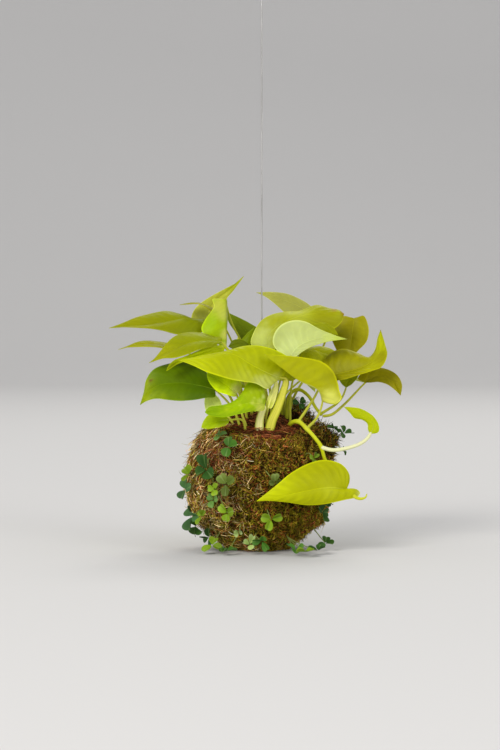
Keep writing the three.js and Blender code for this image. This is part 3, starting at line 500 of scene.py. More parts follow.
# ------------------------------------------------------------------ the moss jacket
# Sheet moss, pressed round the ball and left to grow on. It is a brown felt of old stems with live shoots
# over it: long, dry and tan on the left, short and olive in the middle, greener low on the right.
BALL_REACH = 60 * MM
REST_HEIGHT = 0.0
# The way to each of the moss's swellings and loose heaps, its height in millimetres and how wide it spreads.
SWELLINGS = (((0.5, 0.42, 0.76), 6, 0.3), ((0.9, -0.05, 0.5), 9, 0.09), ((0.82, 0, -0.5), 3, 0.2),
             ((-0.8, -0.1, 0.5), 2, 0.2))
HEAPS = (((0.4, 0.38, 0.84), 15, 0.31), ((0.8, 0.14, 0.6), 14, 0.24))


def mounds(ways, places):
    """How high each of some rounded mounds stands, in millimetres, over unit directions."""
    return [height * np.exp(-(1 - ways @ unit(np.array(at))) / spread ** 2) for at, height, spread in places]


def moss_reach(ways):
    """How far the moss reaches from the ball's middle, over unit directions."""
    reach = BALL_REACH / MM + sum(mounds(ways, SWELLINGS))
    longitude, latitude = np.arctan2(ways[:, 1], ways[:, 0]), np.arcsin(np.clip(ways[:, 2], -1, 1))
    ripple = np.sin(5 * longitude + 1) * np.cos(4 * latitude) + np.sin(9 * longitude + 7 * latitude)
    return (reach + 0.8 * ripple * np.cos(latitude)) * MM


def moss_pile(ways):
    """How high, in millimetres, loose moss is heaped on the ball's right shoulder and behind its crown."""
    return np.maximum(*mounds(ways, HEAPS))


def moss_swell(ways):
    """How far each cushion and tuft of the moss stands out, in millimetres."""
    return (1.7 * waves(ways * BALL_REACH, 0.019, 76) + 1.3 * waves(ways * BALL_REACH, 0.0095, 77)
            + 0.9 * waves(ways * BALL_REACH, 0.0045, 78))


def outside_crown(ways):
    """0 in the open crown and 1 on the moss round it, with an uneven rim."""
    rim = 0.875 + 0.02 * waves(ways * BALL_REACH, 0.02, 8)
    return np.clip((rim - ways @ CROWN_WAY) / 0.035, 0, 1)


felt, ways = round_sheet("moss_felt", 7)
there = outside_crown(ways)
reach = 52 * MM + there * (moss_reach(ways) - 54.9 * MM + (moss_swell(ways) + 0.5 * moss_pile(ways)) * MM)
places = BALL_MIDDLE + ways * reach[:, None]
places[:, 2] = np.maximum(places[:, 2], REST_HEIGHT)
move_points(felt, places)
bpy.ops.object.shade_smooth()

old_moss, nodes, links, shader = new_finish("old_moss", 0.95, Specular_IOR_Level=0.1)
where = node(nodes, "TexCoord")
tangle = node(nodes, "TexNoise", Scale=330.0, Detail=6.0, Roughness=0.72, Distortion=0.6)
patches = node(nodes, "TexNoise", Scale=42.0, Detail=2.0)
dark_ramp = ramp(nodes, (14, 10, 3), (70, 54, 14), 0.35, 0.75)
warm_ramp = ramp(nodes, (20, 11, 4), (86, 52, 22), 0.35, 0.75)
either = node(nodes, "Mix")
either.data_type = "RGBA"
felted = node(nodes, "Bump", Strength=0.9, Distance=0.0008)
chain(links, (where, "Object", tangle, "Vector"), (where, "Object", patches, "Vector"),
      (tangle, "Fac", dark_ramp, 0), (tangle, "Fac", warm_ramp, 0), (patches, "Fac", either, 0),
      (dark_ramp, 0, either, 6), (warm_ramp, 0, either, 7), (either, 2, shader, "Base Color"),
      (tangle, "Fac", felted, "Height"), (felted, 0, shader, "Normal"))
felt.data.materials.append(old_moss)
rest_at_origin(felt, "moss", "moss_jacket")

# The shoots lie close to the ball. sweep is the way they mostly run, loose how far each strays from it, and
# keep says which places of the ball a kind of moss grows on.
mossy, nodes, links, shader = new_finish("living_moss", 0.85, Specular_IOR_Level=0.12)
chain(links, (spread_tint(nodes, links, "tint", 0.22, 260.0), 0, shader, "Base Color"))


def grow_moss(name, seed, tries, keep, sweep, loose, long, wide, lift, curl, shades, shares, sink=1.2, kind="long"):
    draw = np.random.default_rng(seed)
    out = unit(draw.normal(size=(tries, 3)))
    chosen = (draw.uniform(0, 1, tries) < keep(out)) & (outside_crown(out) > draw.uniform(0, 1, tries))
    out = out[chosen]
    count = len(out)
    cushion = waves(out * BALL_REACH, 0.0095, 77)
    tuft = waves(out * BALL_REACH, 0.0045, 78)
    height = moss_swell(out) - 1.5 - sink * draw.uniform(0, 1, count) + moss_pile(out) * draw.uniform(0.4, 1, count)
    roots = BALL_MIDDLE + out * (moss_reach(out) + height * MM)[:, None]
    roots[:, 2] = np.maximum(roots[:, 2], 0.6 * MM)
    run = np.array(sweep)[None] + draw.normal(size=(count, 3)) * loose
    # Painted light and shade: shoots on the higher cushions and tufts are lighter, those in the hollows darker.
    light = np.clip(1 + 0.4 * cushion + 0.85 * tuft, 0.14, 2.4) * draw.uniform(0.55, 1.45, count)
    # Shoots of one shade stand together in patches a few millimetres wide.
    patchy = np.stack([waves(out * BALL_REACH, 0.006, 300 + 9 * seed + k) for k in range(len(shades))], axis=1)
    shade = np.argmax(np.log(shares) + 2.1 * patchy + 0.6 * draw.gumbel(size=patchy.shape), axis=1)
    tints = np.array([tone(colour) for colour in shades])[shade] * light[:, None]
    piece = lay_fibres(name, roots, run, out, draw.uniform(*long, count) * MM, draw.uniform(*wide, count) * MM,
                       draw.uniform(*lift, count), draw.uniform(0.05, 0.45, count),
                       draw.uniform(-curl, curl, count), tints, mossy, kind)
    rest_at_origin(piece, "moss", "moss_jacket")


def smooth(low, high, value):
    """A soft step from 0 at low to 1 at high."""
    share = np.clip((value - low) / (high - low), 0, 1)
    return share * share * (3 - 2 * share)


leftness = lambda out: smooth(0.1, -0.5, out[:, 0] + 0.3 * waves(out * BALL_REACH, 0.03, 31))
lowness = lambda out: smooth(0.1, -0.5, out[:, 2] - 0.35 * out[:, 0] + 0.25 * waves(out * BALL_REACH, 0.03, 32))
behind = lambda out: smooth(-0.1, 0.3, out[:, 1])
knot_way = unit(np.array([-0.6, -0.66, 0.42]))
tuft_way = unit(np.array([0.9, -0.05, 0.5]))
back_way = unit(np.array([0.5, 0.42, 0.76]))
near = lambda out, way, spread: np.exp(-(1 - out @ way) / spread)

grow_moss("moss_dry_strands", 41, 16000, lambda o: leftness(o) * (1 - 0.75 * near(o, knot_way, 0.035)),
          (-0.6, -0.2, -0.5), 0.75, (4, 11), (0.18, 0.4), (0.05, 0.6), 0.7,
          [(245, 216, 152), (214, 183, 92), (166, 158, 44), (191, 119, 71), (250, 241, 198), (108, 102, 27)],
          [0.24, 0.22, 0.2, 0.12, 0.08, 0.14])
grow_moss("moss_brown_shoots", 42, 15500, lambda o: (1 - 0.6 * leftness(o)) * (1 - 0.6 * behind(o)),
          (0, -0.2, -0.2), 1.0, (1.8, 4.6), (0.24, 0.46), (0.4, 1.3), 0.7,
          [(150, 122, 28), (118, 98, 19), (184, 158, 62), (103, 62, 21), (175, 98, 49)],
          [0.28, 0.26, 0.14, 0.14, 0.18])
grow_moss("moss_olive_tips", 49, 33000, lambda o: (1 - 0.75 * leftness(o)) * (1 - 0.6 * behind(o)),
          (0, -0.1, -0.1), 1.0, (1.2, 2.8), (0.24, 0.42), (0.6, 1.8), 0.5,
          [(160, 143, 32), (135, 124, 21), (190, 171, 64), (111, 83, 21), (160, 86, 41)],
          [0.3, 0.28, 0.14, 0.14, 0.14], sink=0.7, kind="short")
grow_moss("moss_olive_back", 43, 13500, lambda o: 0.2 + 0.8 * behind(o), (0.2, 0.1, -0.3), 1.0,
          (2.5, 6.5), (0.24, 0.48), (0.25, 0.9), 0.5,
          [(126, 112, 26), (102, 92, 18), (146, 132, 50), (80, 64, 16), (132, 88, 44)],
          [0.3, 0.28, 0.14, 0.18, 0.10])
grow_moss("moss_green_shoots", 44, 14500, lambda o: 0.12 + 0.88 * lowness(o) * (1 - 0.6 * leftness(o)),
          (0.1, -0.1, -0.6), 0.9, (2, 5), (0.24, 0.46), (0.3, 1.2), 0.5,
          [(114, 112, 8), (90, 92, 6), (142, 138, 26), (72, 62, 8), (120, 62, 18)],
          [0.32, 0.28, 0.12, 0.16, 0.12])
grow_moss("moss_red_threads", 45, 6000, lambda o: 0.3 + 0.5 * leftness(o), (-0.2, 0, -0.2), 1.0,
          (3, 8), (0.18, 0.32), (0.05, 0.6), 0.8,
          [(166, 74, 34), (200, 116, 72), (124, 54, 22), (222, 162, 112)], [0.38, 0.26, 0.22, 0.14], sink=0.3)
# A red-brown knot of old stems sits at the ball's upper left, long loose ends stand out of its left side and
# foot, and dark tufts stand on its right shoulder and behind its crown.
grow_moss("moss_red_knot", 47, 26000, lambda o: near(o, knot_way, 0.022), (0.7, -0.2, -0.3), 0.8,
          (5, 11), (0.18, 0.34), (0.1, 0.6), 0.8,
          [(132, 69, 37), (164, 104, 70), (92, 44, 21), (181, 132, 99)], [0.38, 0.26, 0.22, 0.14], sink=0.0)
grow_moss("moss_loose_ends", 48, 2600,
          lambda o: (0.05 + smooth(-0.5, -0.85, o[:, 0]) + 0.8 * smooth(-0.5, -0.85, o[:, 2])
                     + 0.35 * smooth(0.6, 0.85, o[:, 0])),
          (-0.4, -0.2, -0.8), 1.0, (4, 12), (0.14, 0.26), (0.2, 1.0), 0.9,
          [(180, 148, 84), (146, 126, 40), (118, 112, 26), (164, 100, 58)], [0.3, 0.3, 0.22, 0.18], sink=0.0)
grow_moss("moss_tuft", 46, 60000, lambda o: np.maximum(near(o, tuft_way, 0.045), 0.4 * near(o, back_way, 0.07)),
          (0.3, -0.1, 0.2), 1.0, (2, 6), (0.24, 0.46), (0.6, 1.8), 0.6,
          [(83, 72, 11), (59, 50, 7), (109, 99, 22), (57, 37, 9)], [0.36, 0.3, 0.16, 0.18], kind="short")

# ------------------------------------------------------------------ the two stems
# The pothos climbs out of the crown on two smooth stems, chartreuse and a little swollen at each joint where
# a petiole leaves. One trails over the rim and down beside the ball, and the other arches to the right.
STEM_ROWS = 84
STEM_COLOURS = (188, 194, 16), (196, 200, 44)


def in_view(places):
    """Places that give their depth as y and where the front view shows them as x and z, in millimetres."""
    places = np.atleast_2d(np.array(places, float)) * MM
    depth = places[:, 1].copy()
    places[:, 1] = 0
    return EYE + (places - EYE) * (1 + depth / 2.0)[:, None]


def through(places):
    """A smooth line through places, which gives the points at shares of its length."""
    places = np.asarray(places, float)
    ends = [2 * places[0] - places[1], *places, 2 * places[-1] - places[-2]]
    w = np.linspace(0, 1, 33)[:-1, None]
    line = []
    for before, start, end, after in zip(ends, ends[1:], ends[2:], ends[3:]):
        a, b, c = (np.sum((q - p) ** 2) ** 0.25 for p, q in ((before, start), (start, end), (end, after)))
        leave = ((start - before) / a - (end - before) / (a + b) + (end - start) / b) * b
        arrive = ((end - start) / b - (after - start) / (b + c) + (after - end) / c) * b
        line.append(start + leave * w + (3 * (end - start) - 2 * leave - arrive) * w ** 2
                    + (2 * (start - end) + leave + arrive) * w ** 3)
    line = np.concatenate([*line, places[-1:]])
    far = np.concatenate([[0], np.cumsum(np.linalg.norm(np.diff(line, axis=0), axis=1))])
    return lambda share: np.stack([np.interp(np.asarray(share) * far[-1], far, line[:, k]) for k in range(3)], -1)


fleshy, nodes, links, shader = new_finish(
    "green_stem", 0.46, Specular_IOR_Level=0.14,
    Subsurface_Weight=0.12, Subsurface_Radius=(1.0, 0.9, 0.15), Subsurface_Scale=0.001)
where = node(nodes, "UVMap")
streaks = node(nodes, "TexNoise", Scale=9.0, Detail=4.0)
drawn_out = node(nodes, "Mapping", Scale=(3.2, 0.16, 1))
level = node(nodes, "MapRange", _1=0.3, _2=0.7, _3=0.86, _4=1.14)
own = node(nodes, "Attribute")
own.attribute_name = "tint"
streaked = node(nodes, "VectorMath", "MULTIPLY")
ribs = node(nodes, "Bump", Strength=0.5, Distance=0.0004)
chain(links, (where, drawn_out), (drawn_out, 0, streaks, "Vector"), (streaks, "Fac", level, 0),
      (own, "Color", streaked, 0), (level, 0, streaked, 1), (streaked, 0, shader, "Base Color"),
      (streaks, "Fac", ribs, "Height"), (ribs, 0, shader, "Normal"))


def grow_stem(name, solid, places, radius, joints, shade):
    """One stem, thinner towards its tip. joints are the places where a petiole leaves it."""
    def beside_joints(spots, reach):
        return sum(np.exp(-(np.linalg.norm(spots - in_view(joint), axis=1) / (reach * MM)) ** 2)
                   for joint in joints)

    share = np.linspace(0, 1, STEM_ROWS + 1)
    line = through(in_view(places))(share)
    thick = radius * MM * (1 - 0.25 * share) * (1 + 0.2 * beside_joints(line, 2.6))
    stem = wrap_tube(name, STEM_ROWS, 20, line, np.stack([thick, thick], axis=1))
    low, high = (tone(colour) for colour in STEM_COLOURS)
    spots = points_of(stem)
    mix = 0.5 + 0.5 * waves(spots, 0.02, 5)
    mix = np.clip(mix + 0.7 * beside_joints(spots, 3.2), 0, 1.3) * smooth(0.09, 0.1, spots[:, 2])
    paint(stem, "tint", (low + (high - low) * mix[:, None]) * shade)
    stem.data.materials.append(fleshy)
    rest_at_origin(stem, "stem", solid)


grow_stem("trailing_stem", "vine_trailing",
          [(22, -16, 94), (27, -20, 105), (34, -28, 107), (41, -35, 101), (49, -41, 92), (53, -43, 86),
           (56, -42, 76), (60, -40, 68)], 1.9,
          [(34, -28, 107), (41, -35, 101), (52.5, -43, 85.5), (59, -41, 69.5)], 1.0)
grow_stem("arching_stem", "stem_arching",
          [(22, -6, 94), (24, -5, 112), (27, -3, 130), (34, -4, 134), (42, -7, 129), (49, -9, 118), (54, -11, 112)],
          1.7, [(33, -4, 134), (53.5, -9, 114)], 0.8)

# ------------------------------------------------------------------ the leaves
# Heart-shaped, pointed pothos leaves, about 0.4 mm thick, waxy above and paler below. Each is one sheet laid
# between its midrib and its two edges, on a petiole that stands in the soil or grows from a stem.
veins = bpy.data.node_groups.new("leaf_veins", "ShaderNodeTree")
for socket, kind in (("Place", "NodeSocketVector"), ("Side veins", "NodeSocketFloat")):
    veins.interface.new_socket(socket, in_out="INPUT", socket_type=kind)
for socket in ("Midrib", "Vein", "Swell", "Edge"):
    veins.interface.new_socket(socket, in_out="OUTPUT", socket_type="NodeSocketFloat")
nodes, links = veins.nodes, veins.links
inlet, outlet = nodes.new("NodeGroupInput"), nodes.new("NodeGroupOutput")
split = node(nodes, "SeparateXYZ")
centred = node(nodes, "Math", "MULTIPLY_ADD", _1=2.0, _2=-1.0)
aside = node(nodes, "Math", "ABSOLUTE")
rib_width = node(nodes, "MapRange", _1=0.0, _2=1.0, _3=0.026, _4=0.011)
rib_share = node(nodes, "Math", "DIVIDE")
rib_mask = node(nodes, "MapRange", _1=0.5, _2=1.5, _3=1.0, _4=0.0)
which = node(nodes, "Math", "GREATER_THAN", _1=0.0)
offset = node(nodes, "Math", "MULTIPLY", _1=0.5)
counted = node(nodes, "Math", "MULTIPLY_ADD")
wander = node(nodes, "TexNoise", Scale=3.0, Detail=1.0)
wandered = node(nodes, "Math", "MULTIPLY_ADD", _1=1.5)
wrapped = node(nodes, "Math", "FRACT")
from_line = node(nodes, "Math", "MULTIPLY_ADD", _1=2.0, _2=-1.0)
line_off = node(nodes, "Math", "ABSOLUTE")
line_mask = node(nodes, "MapRange", _1=0.55, _2=1.0, _3=0.0, _4=1.0)
fade = node(nodes, "MapRange", _1=0.6, _2=1.0, _3=1.0, _4=0.0)
line_faded = node(nodes, "Math", "MULTIPLY")
puffed = node(nodes, "Math", "POWER", _1=2.0)
puff = node(nodes, "Math", "SUBTRACT", _0=1.0)
puff_faded = node(nodes, "Math", "MULTIPLY")
edge_mask = node(nodes, "MapRange", _1=0.935, _2=0.97, _3=0.0, _4=1.0)
chain(links, (inlet, split), (split, centred), (centred, aside), (split, 1, rib_width, 0), (aside, rib_share),
      (rib_width, 0, rib_share, 1), (rib_share, rib_mask), (centred, which), (which, offset),
      (split, 1, counted, 0), (inlet, 1, counted, 1), (offset, 0, counted, 2), (inlet, 0, wander, "Vector"),
      (wander, "Fac", wandered, 0), (counted, 0, wandered, 2), (wandered, wrapped), (wrapped, from_line),
      (from_line, line_off), (line_off, line_mask), (aside, fade), (line_mask, line_faded),
      (fade, 0, line_faded, 1), (line_off, puffed), (puffed, 0, puff, 1), (puff, puff_faded),
      (fade, 0, puff_faded, 1), (aside, edge_mask), (rib_mask, outlet), (line_faded, 0, outlet, 1),
      (puff_faded, 0, outlet, 2), (edge_mask, 0, outlet, 3))


def leaf_face(name, attribute, roughness, rib_gain, vein_gain, lift):
    """One face of a leaf. Its colour is the tint painted on the leaf, with painted light and shade in places,
    clouded, with its midrib, veins and edge a little lighter or darker. lift above 0 raises the midrib, as below
    the leaf, and below 0 sinks it, as above."""
    finish, nodes, links, shader = new_finish(
        name, roughness, Specular_IOR_Level=0.09,
        Subsurface_Weight=0.14, Subsurface_Radius=(1.0, 0.9, 0.1), Subsurface_Scale=0.0012)
    pattern = node(nodes, "Group")
    pattern.node_tree = veins
    pattern.inputs["Side veins"].default_value = SIDE_VEINS
    where = node(nodes, "UVMap")
    ground = spread_tint(nodes, links, attribute, 0.13, 70.0, 8.0)
    ribbed = node(nodes, "Math", "MULTIPLY_ADD", _1=rib_gain, _2=1.0)
    veined = node(nodes, "Math", "MULTIPLY_ADD", _1=vein_gain)
    edged = node(nodes, "Math", "MULTIPLY_ADD", _1=0.38)
    drawn_in = node(nodes, "VectorMath", "MULTIPLY")
    pores = node(nodes, "TexNoise", Scale=900.0, Detail=2.0)
    place = node(nodes, "TexCoord")
    swelling = node(nodes, "Math", "MULTIPLY", _1=0.22)
    ribbing = node(nodes, "Math", "MULTIPLY_ADD", _1=lift)
    fine = node(nodes, "Math", "MULTIPLY_ADD", _1=0.06)
    relief = node(nodes, "Bump", Strength=0.45, Distance=0.0006)
    rough = node(nodes, "MapRange", _3=roughness - 0.05, _4=roughness + 0.08)
    chain(links, (where, pattern), (pattern, "Midrib", ribbed, 0), (pattern, "Vein", veined, 0),
          (ribbed, 0, veined, 2), (pattern, "Edge", edged, 0), (veined, 0, edged, 2), (ground, drawn_in),
          (edged, 0, drawn_in, 1), (drawn_in, 0, shader, "Base Color"), (pattern, "Swell", swelling, 0),
          (pattern, "Midrib", ribbing, 0), (swelling, 0, ribbing, 2), (place, "Object", pores, "Vector"),
          (pores, "Fac", fine, 0), (ribbing, 0, fine, 2), (fine, 0, relief, "Height"),
          (relief, 0, shader, "Normal"), (pores, "Fac", rough, 0), (rough, 0, shader, "Roughness"))
    return finish


SIDE_VEINS = 11.0  # drawn on each half of a blade
upper_face = leaf_face("leaf_upper_face", "tint", 0.46, 0.28, -0.05, -0.5)
under_face = leaf_face("leaf_under_face", "under", 0.58, 0.16, 0.06, 0.5)

LEAF_COLUMNS, LEAF_ROWS = 26, 64
STALK_ROWS, STALK_COLUMNS = 40, 24
LEAF_THICK = 0.4 * MM
VEIN_SPACING = 7.0  # between the swellings that stand between the veins, in millimetres
QUILT = 0.28 * MM  # how far the blade swells there
LOBE_SWEEP, BOW = 1.35, 0.1  # how far the lobes reach back, and how high each half is bowed
BROAD = 4  # a petiole wider than this many millimetres is broad and channelled
FRESH_BROAD, FRESH_THIN = (156, 160, 10), (188, 190, 36)
TAIL_COLOUR = (196, 200, 40)
SOIL_SINK = 14  # how deep a petiole stands in the soil, in millimetres


def direction(line, share):
    """The way a line runs at shares of its length."""
    step = 1e-3
    return line(np.clip(share + step, 0, 1)) - line(np.clip(share - step, 0, 1))


def thicken(sheet, thickness, under=0):
    """Gives a sheet its thickness, down from its upper face. under is the number of the lower face's finish."""
    bpy.context.view_layer.objects.active = sheet
    blade = sheet.modifiers.new("blade", "SOLIDIFY")
    blade.thickness = thickness
    blade.offset = -1
    blade.material_offset = under
    bpy.ops.object.modifier_apply(modifier="blade")


def grow_leaf(solid, root, rib, left, right, via=(), on=None, petiole=(3, 3), across=None, tint=(160, 175, 20),
              under=(180, 195, 80), rim=None, patches=(), sweeps=(0.14, 0.14), quilt=1.0, ridge=0.6,
              narrowing=0.45, blanched=0.2, tail=(), stalk_colour=(184, 186, 70)):
    """A leaf on its petiole, as one piece. rib runs from the petiole to the tip, and each edge from the petiole
    round a lobe to the tip, by the places between. patches are a place, a reach in millimetres and the colour
    that both faces have there, or one for each; most are painted light and shade or painted highlights, and a
    few are the leaf's own colour. Some tints carry painted light and shade too. sweeps says how far the side
    veins of each half lean."""
    seed = sum(ord(letter) * (i + 1) for i, letter in enumerate(solid)) % 1000
    draw = np.random.default_rng(seed)
    midrib = through(in_view(rib))
    edges = [through(in_view([rib[0], *side, rib[-1]])) for side in (left, right)]
    length = np.linalg.norm(np.diff(midrib(np.linspace(0, 1, 30)), axis=0), axis=1).sum() / MM

    bpy.ops.object.select_all(action="DESELECT")
    bpy.ops.mesh.primitive_grid_add(x_subdivisions=LEAF_COLUMNS, y_subdivisions=LEAF_ROWS, size=1)
    leaf = bpy.context.object
    leaf.name = leaf.data.name = solid.replace("leaf_", "") + "_leaf"
    flat = points_of(leaf)
    side, t = -2 * flat[:, 0], np.clip(flat[:, 1] + 0.5, 0, 1)
    t = t + 0.06 * np.sin(2 * math.pi * t) * -0.5
    share = np.abs(side)[:, None]
    edge = np.where((side > 0)[:, None], edges[0](t), edges[1](t))
    inner = np.clip(t, 0.02, 0.98)
    up = unit(np.cross(direction(midrib, inner), edges[0](inner) - edges[1](inner)))
    on_rib = midrib(t ** LOBE_SWEEP)
    reach = edge - on_rib
    width = np.linalg.norm(reach, axis=1)[:, None]
    wave = 0.03 * np.sin(2 * math.pi * (draw.uniform(1.4, 2.6) * t + draw.uniform(0, 1)) + 1.6 * side)
    lift = width * (4 * BOW * share * (1 - share) + wave[:, None] * share ** 2)
    swept = t - np.where(side > 0, sweeps[0], sweeps[1]) * np.abs(side)
    bands = np.cos(2 * math.pi * (swept * length / VEIN_SPACING + 0.4 * (side > 0) + 0.5 * waves(flat, 0.9, seed)))
    fading = (np.abs(side) ** 0.6 * (1 - smooth(0.7, 1.0, np.abs(side))) * smooth(1.0, 0.85, t)
              * smooth(0.0, 0.15, t))
    grid = on_rib + reach * share + up * (lift + (quilt * QUILT * bands * fading * min(1, length / 60))[:, None])
    ends = (t < 1e-6) | (t > 1 - 1e-6)
    grid[ends] = np.where((t < 0.5)[:, None], midrib(0.0), midrib(1.0))[ends]
    move_points(leaf, grid)
    uv = leaf.data.uv_layers.active.data
    for loop in leaf.data.loops:
        uv[loop.index].uv[1] = swept[loop.vertex_index]

    faces = {"tint": tint, "under": under}
    for face, colour in faces.items():
        shade = tone(colour) * (1 + 0.06 * waves(grid, 0.05, seed))[:, None]
        if rim and face == "tint":
            mix = smooth(0.35, 1.0, np.abs(side)) * 0.75 + smooth(0.8, 1.0, t) * 0.5
            shade += (tone(rim) - shade) * np.clip(mix, 0, 1)[:, None]
        for place, far, *colours in patches:
            off = np.linalg.norm((grid - in_view(place)) * (1, 0.35, 1), axis=1) / (far * MM)
            off *= 1 + 0.3 * waves(grid, 0.011, seed + 5)
            patch = colours[0] if face == "tint" else colours[-1]
            if patch:
                shade += (tone(patch) - shade) * np.exp(-off ** 2.6)[:, None]
        # Painted light: the swellings between the veins are a little lighter and the furrows darker.
        paint(leaf, face, shade * (1 + 0.055 * quilt * bands * fading)[:, None])
    weld(2e-6, turn_out=False)
    leaf.data.materials.append(upper_face)
    leaf.data.materials.append(under_face)
    thicken(leaf, LEAF_THICK, under=1)
    bpy.ops.object.shade_smooth_by_angle(angle=math.radians(60))

    down = -unit(np.cross(direction(midrib, 0.3), edges[0](0.3) - edges[1](0.3)))
    if on:
        start = in_view(root)[0]
    else:
        top_z = BALL_MIDDLE[2] / MM + math.sqrt(56.5 ** 2 - root[0] ** 2 - root[1] ** 2)
        start = np.array([root[0], root[1], top_z - SOIL_SINK]) * MM
    stops = [start, *(in_view(via) if len(via) else []), midrib(0.0) + down * 0.64 * MM]
    if (stops[-1] - stops[-2]) @ direction(midrib, 0.002) > 0:
        stops.append(midrib(0.07) + down * 0.48 * MM)
    broad = petiole[0] > BROAD
    s = np.linspace(0, 1, STALK_ROWS + 1)
    foot = 1 + 0.35 * np.exp(-s / 0.06) * (0 if on else 1)
    taper = (1 - narrowing * s) * (1 - 0.5 * smooth(0.93, 1.0, s)) * foot * (1 if broad else 0.84)
    sizes = np.stack([petiole[0] / 2 * taper, petiole[1] / 2 * taper], axis=1) * MM
    line = through(stops)(s)
    groove = 0.35 if broad else 0.0
    stalk = wrap_tube(solid + "_stalk", STALK_ROWS, STALK_COLUMNS, line, sizes, across, groove)
    spots = points_of(stalk)
    nearest = np.argmin(np.linalg.norm(spots[:, None] - line[None], axis=2), axis=1)
    away = np.linalg.norm(spots - line[nearest], axis=1) / np.maximum(sizes[nearest, 0], 1e-6)
    rim_share = smooth(0.55, 0.95, away)[:, None] if broad else np.full((len(spots), 1), 0.5)
    pale, fresh, blade = tone(stalk_colour), tone(FRESH_BROAD if broad else FRESH_THIN), tone(under)
    low = smooth(0.14, 0.105, spots[:, 2])[:, None]
    core = pale if broad else pale + (blade - pale) * 0.4
    shade = core + (fresh - core) * rim_share
    paint(stalk, "tint", shade + (pale - shade) * low * (0.15 if broad else blanched))
    stalk.data.materials.append(fleshy)

    parts = [stalk, leaf]
    if ridge:
        s = np.linspace(0, 0.8, 31)
        ridge_sizes = np.stack([np.interp(s, [0, 0.8], [ridge, 0.12])] * 2, axis=1) * MM
        downs = -unit(np.cross(direction(midrib, np.clip(s, 0.02, 1)),
                               edges[0](np.clip(s, 0.1, 0.95)) - edges[1](np.clip(s, 0.1, 0.95))))
        raised = wrap_tube(solid + "_ridge", 30, 8, midrib(s) + downs * (0.35 * MM + ridge_sizes[:, :1] * 0.1),
                           ridge_sizes)
        paint(raised, "tint", blade * 1.05)
        raised.data.materials.append(fleshy)
        parts.insert(0, raised)
    if tail:
        s = np.linspace(0, 1, 25)
        sizes = np.stack([np.interp(s, [0, 0.6, 1], [1.7, 1.1, 0.5]), np.interp(s, [0, 0.6, 1], [0.5, 0.5, 0.3])],
                         axis=1) * MM
        curl = wrap_tube(solid + "_tail", 24, 12, through(in_view(tail))(s), sizes, (0, 0, 1))
        paint(curl, "tint", tone(TAIL_COLOUR))
        curl.data.materials.append(fleshy)
        parts.insert(0, curl)
    join(parts, leaf)
    rest_at_origin(leaf, "leaf", solid)


# The pale patches on its lower edge and the lighter one at its tip are painted light.
grow_leaf(
    "leaf_front_left",
    root=(7.5, -32), via=[(11.5, -35, 107), (16, -36, 117), (21, -37, 131)], petiole=(9, 3),
    across=(1, 0, 0.3), stalk_colour=(206, 203, 74),
    rib=[(23.5, -38, 142), (8, -46, 147.8), (-6, -52, 155), (-22, -57, 164), (-44, -61, 161.5),
        (-66.5, -64, 158.7)],
    left=[(16, -42, 141), (8, -48, 134.5), (-2, -54, 139), (-14, -60, 141), (-27, -65, 143.5),
        (-42, -67, 148), (-55, -66, 154.5)],
    right=[(28, -34, 141), (34, -29, 145), (34, -29, 155), (26, -33, 161.5), (14, -38, 167.5),
        (0, -43, 170.7), (-12, -47, 170.5), (-27, -52, 166.8), (-45, -57, 163)],
    tint=(165, 173, 0), under=(179, 188, 86), sweeps=(-0.24, 0.14), quilt=1.5,
    patches=[((2, -55, 137), 9, (184, 191, 95)), ((-14, -58, 141.5), 8, (175, 184, 39), None),
             ((12, -42, 136), 8, (183, 190, 90)), ((-58, -62, 159), 12, (175, 184, 0), None)],
)
grow_leaf(
    "leaf_front_right",
    root=(41, -35, 101), on="vine_trailing", via=[(50, -40, 111)],
    rib=[(54, -44, 124), (50.5, -48, 133), (35, -53, 141), (20, -56, 152), (5, -58, 163.5)],
    left=[(59, -37, 126), (54, -32, 140), (40, -35, 148), (22, -43, 157)],
    right=[(58, -47, 122.3), (65, -50, 121.8), (70.5, -50, 127), (68.5, -48, 134), (67.5, -46, 139),
        (63, -43, 149), (54, -42, 157), (40, -46, 161), (22, -53, 162.5)],
    tint=(160, 161, 0), under=(173, 177, 83), sweeps=(0.14, 0.0), quilt=1.2,
    patches=[((60, -46, 126.5), 8, (196, 198, 84)), ((66, -48, 146), 8, (142, 142, 0), None),
             ((12, -53, 160), 10, (160, 166, 4), None)],
)
# The small pale spots along its middle are painted highlights of its gloss.
grow_leaf(
    "leaf_front_glossy",
    root=(1.5, -33), via=[(1.5, -37, 108)], petiole=(9.5, 2.6), across=(1, 0, -0.2),
    stalk_colour=(232, 229, 150),
    rib=[(6, -40, 121), (-8, -50, 122.5), (-22, -56, 118.5), (-34, -59, 116), (-44.8, -60, 115)],
    left=[(5, -42, 116.8), (-6, -52, 115.5), (-16, -57, 113.3), (-28, -60, 110.8), (-37, -61, 111.5),
        (-42.5, -61, 113)],
    right=[(6.5, -39, 128), (3, -41, 139), (-8, -45, 140), (-14, -50, 130.5), (-22, -53, 123.5),
        (-33, -57, 120.5), (-41, -59, 119.3)],
    tint=(149, 178, 0), under=(185, 191, 58), rim=(126, 158, 0),
    patches=[((-2, -42, 134), 9, (160, 182, 2), None), ((-38, -58, 117), 8, (124, 156, 0), None),
             ((2, -41, 118), 5, (190, 198, 80)), ((4.5, -41, 128), 1.5, (204, 216, 120), None),
             ((2, -42, 124.5), 2.1, (194, 208, 84), None), ((-5, -46, 122.5), 1.8, (192, 206, 80), None),
             ((-3, -44, 127), 1.0, (190, 206, 76), None), ((-9.5, -48, 121.5), 1.2, (180, 200, 56), None),
             ((-6, -45, 132), 1.3, (186, 202, 60), None), ((1, -42, 133.5), 1.0, (186, 202, 60), None),
             ((-15, -52, 121), 1.4, (172, 194, 34), None), ((-26, -57, 117), 1.6, (164, 186, 20), None)],
)
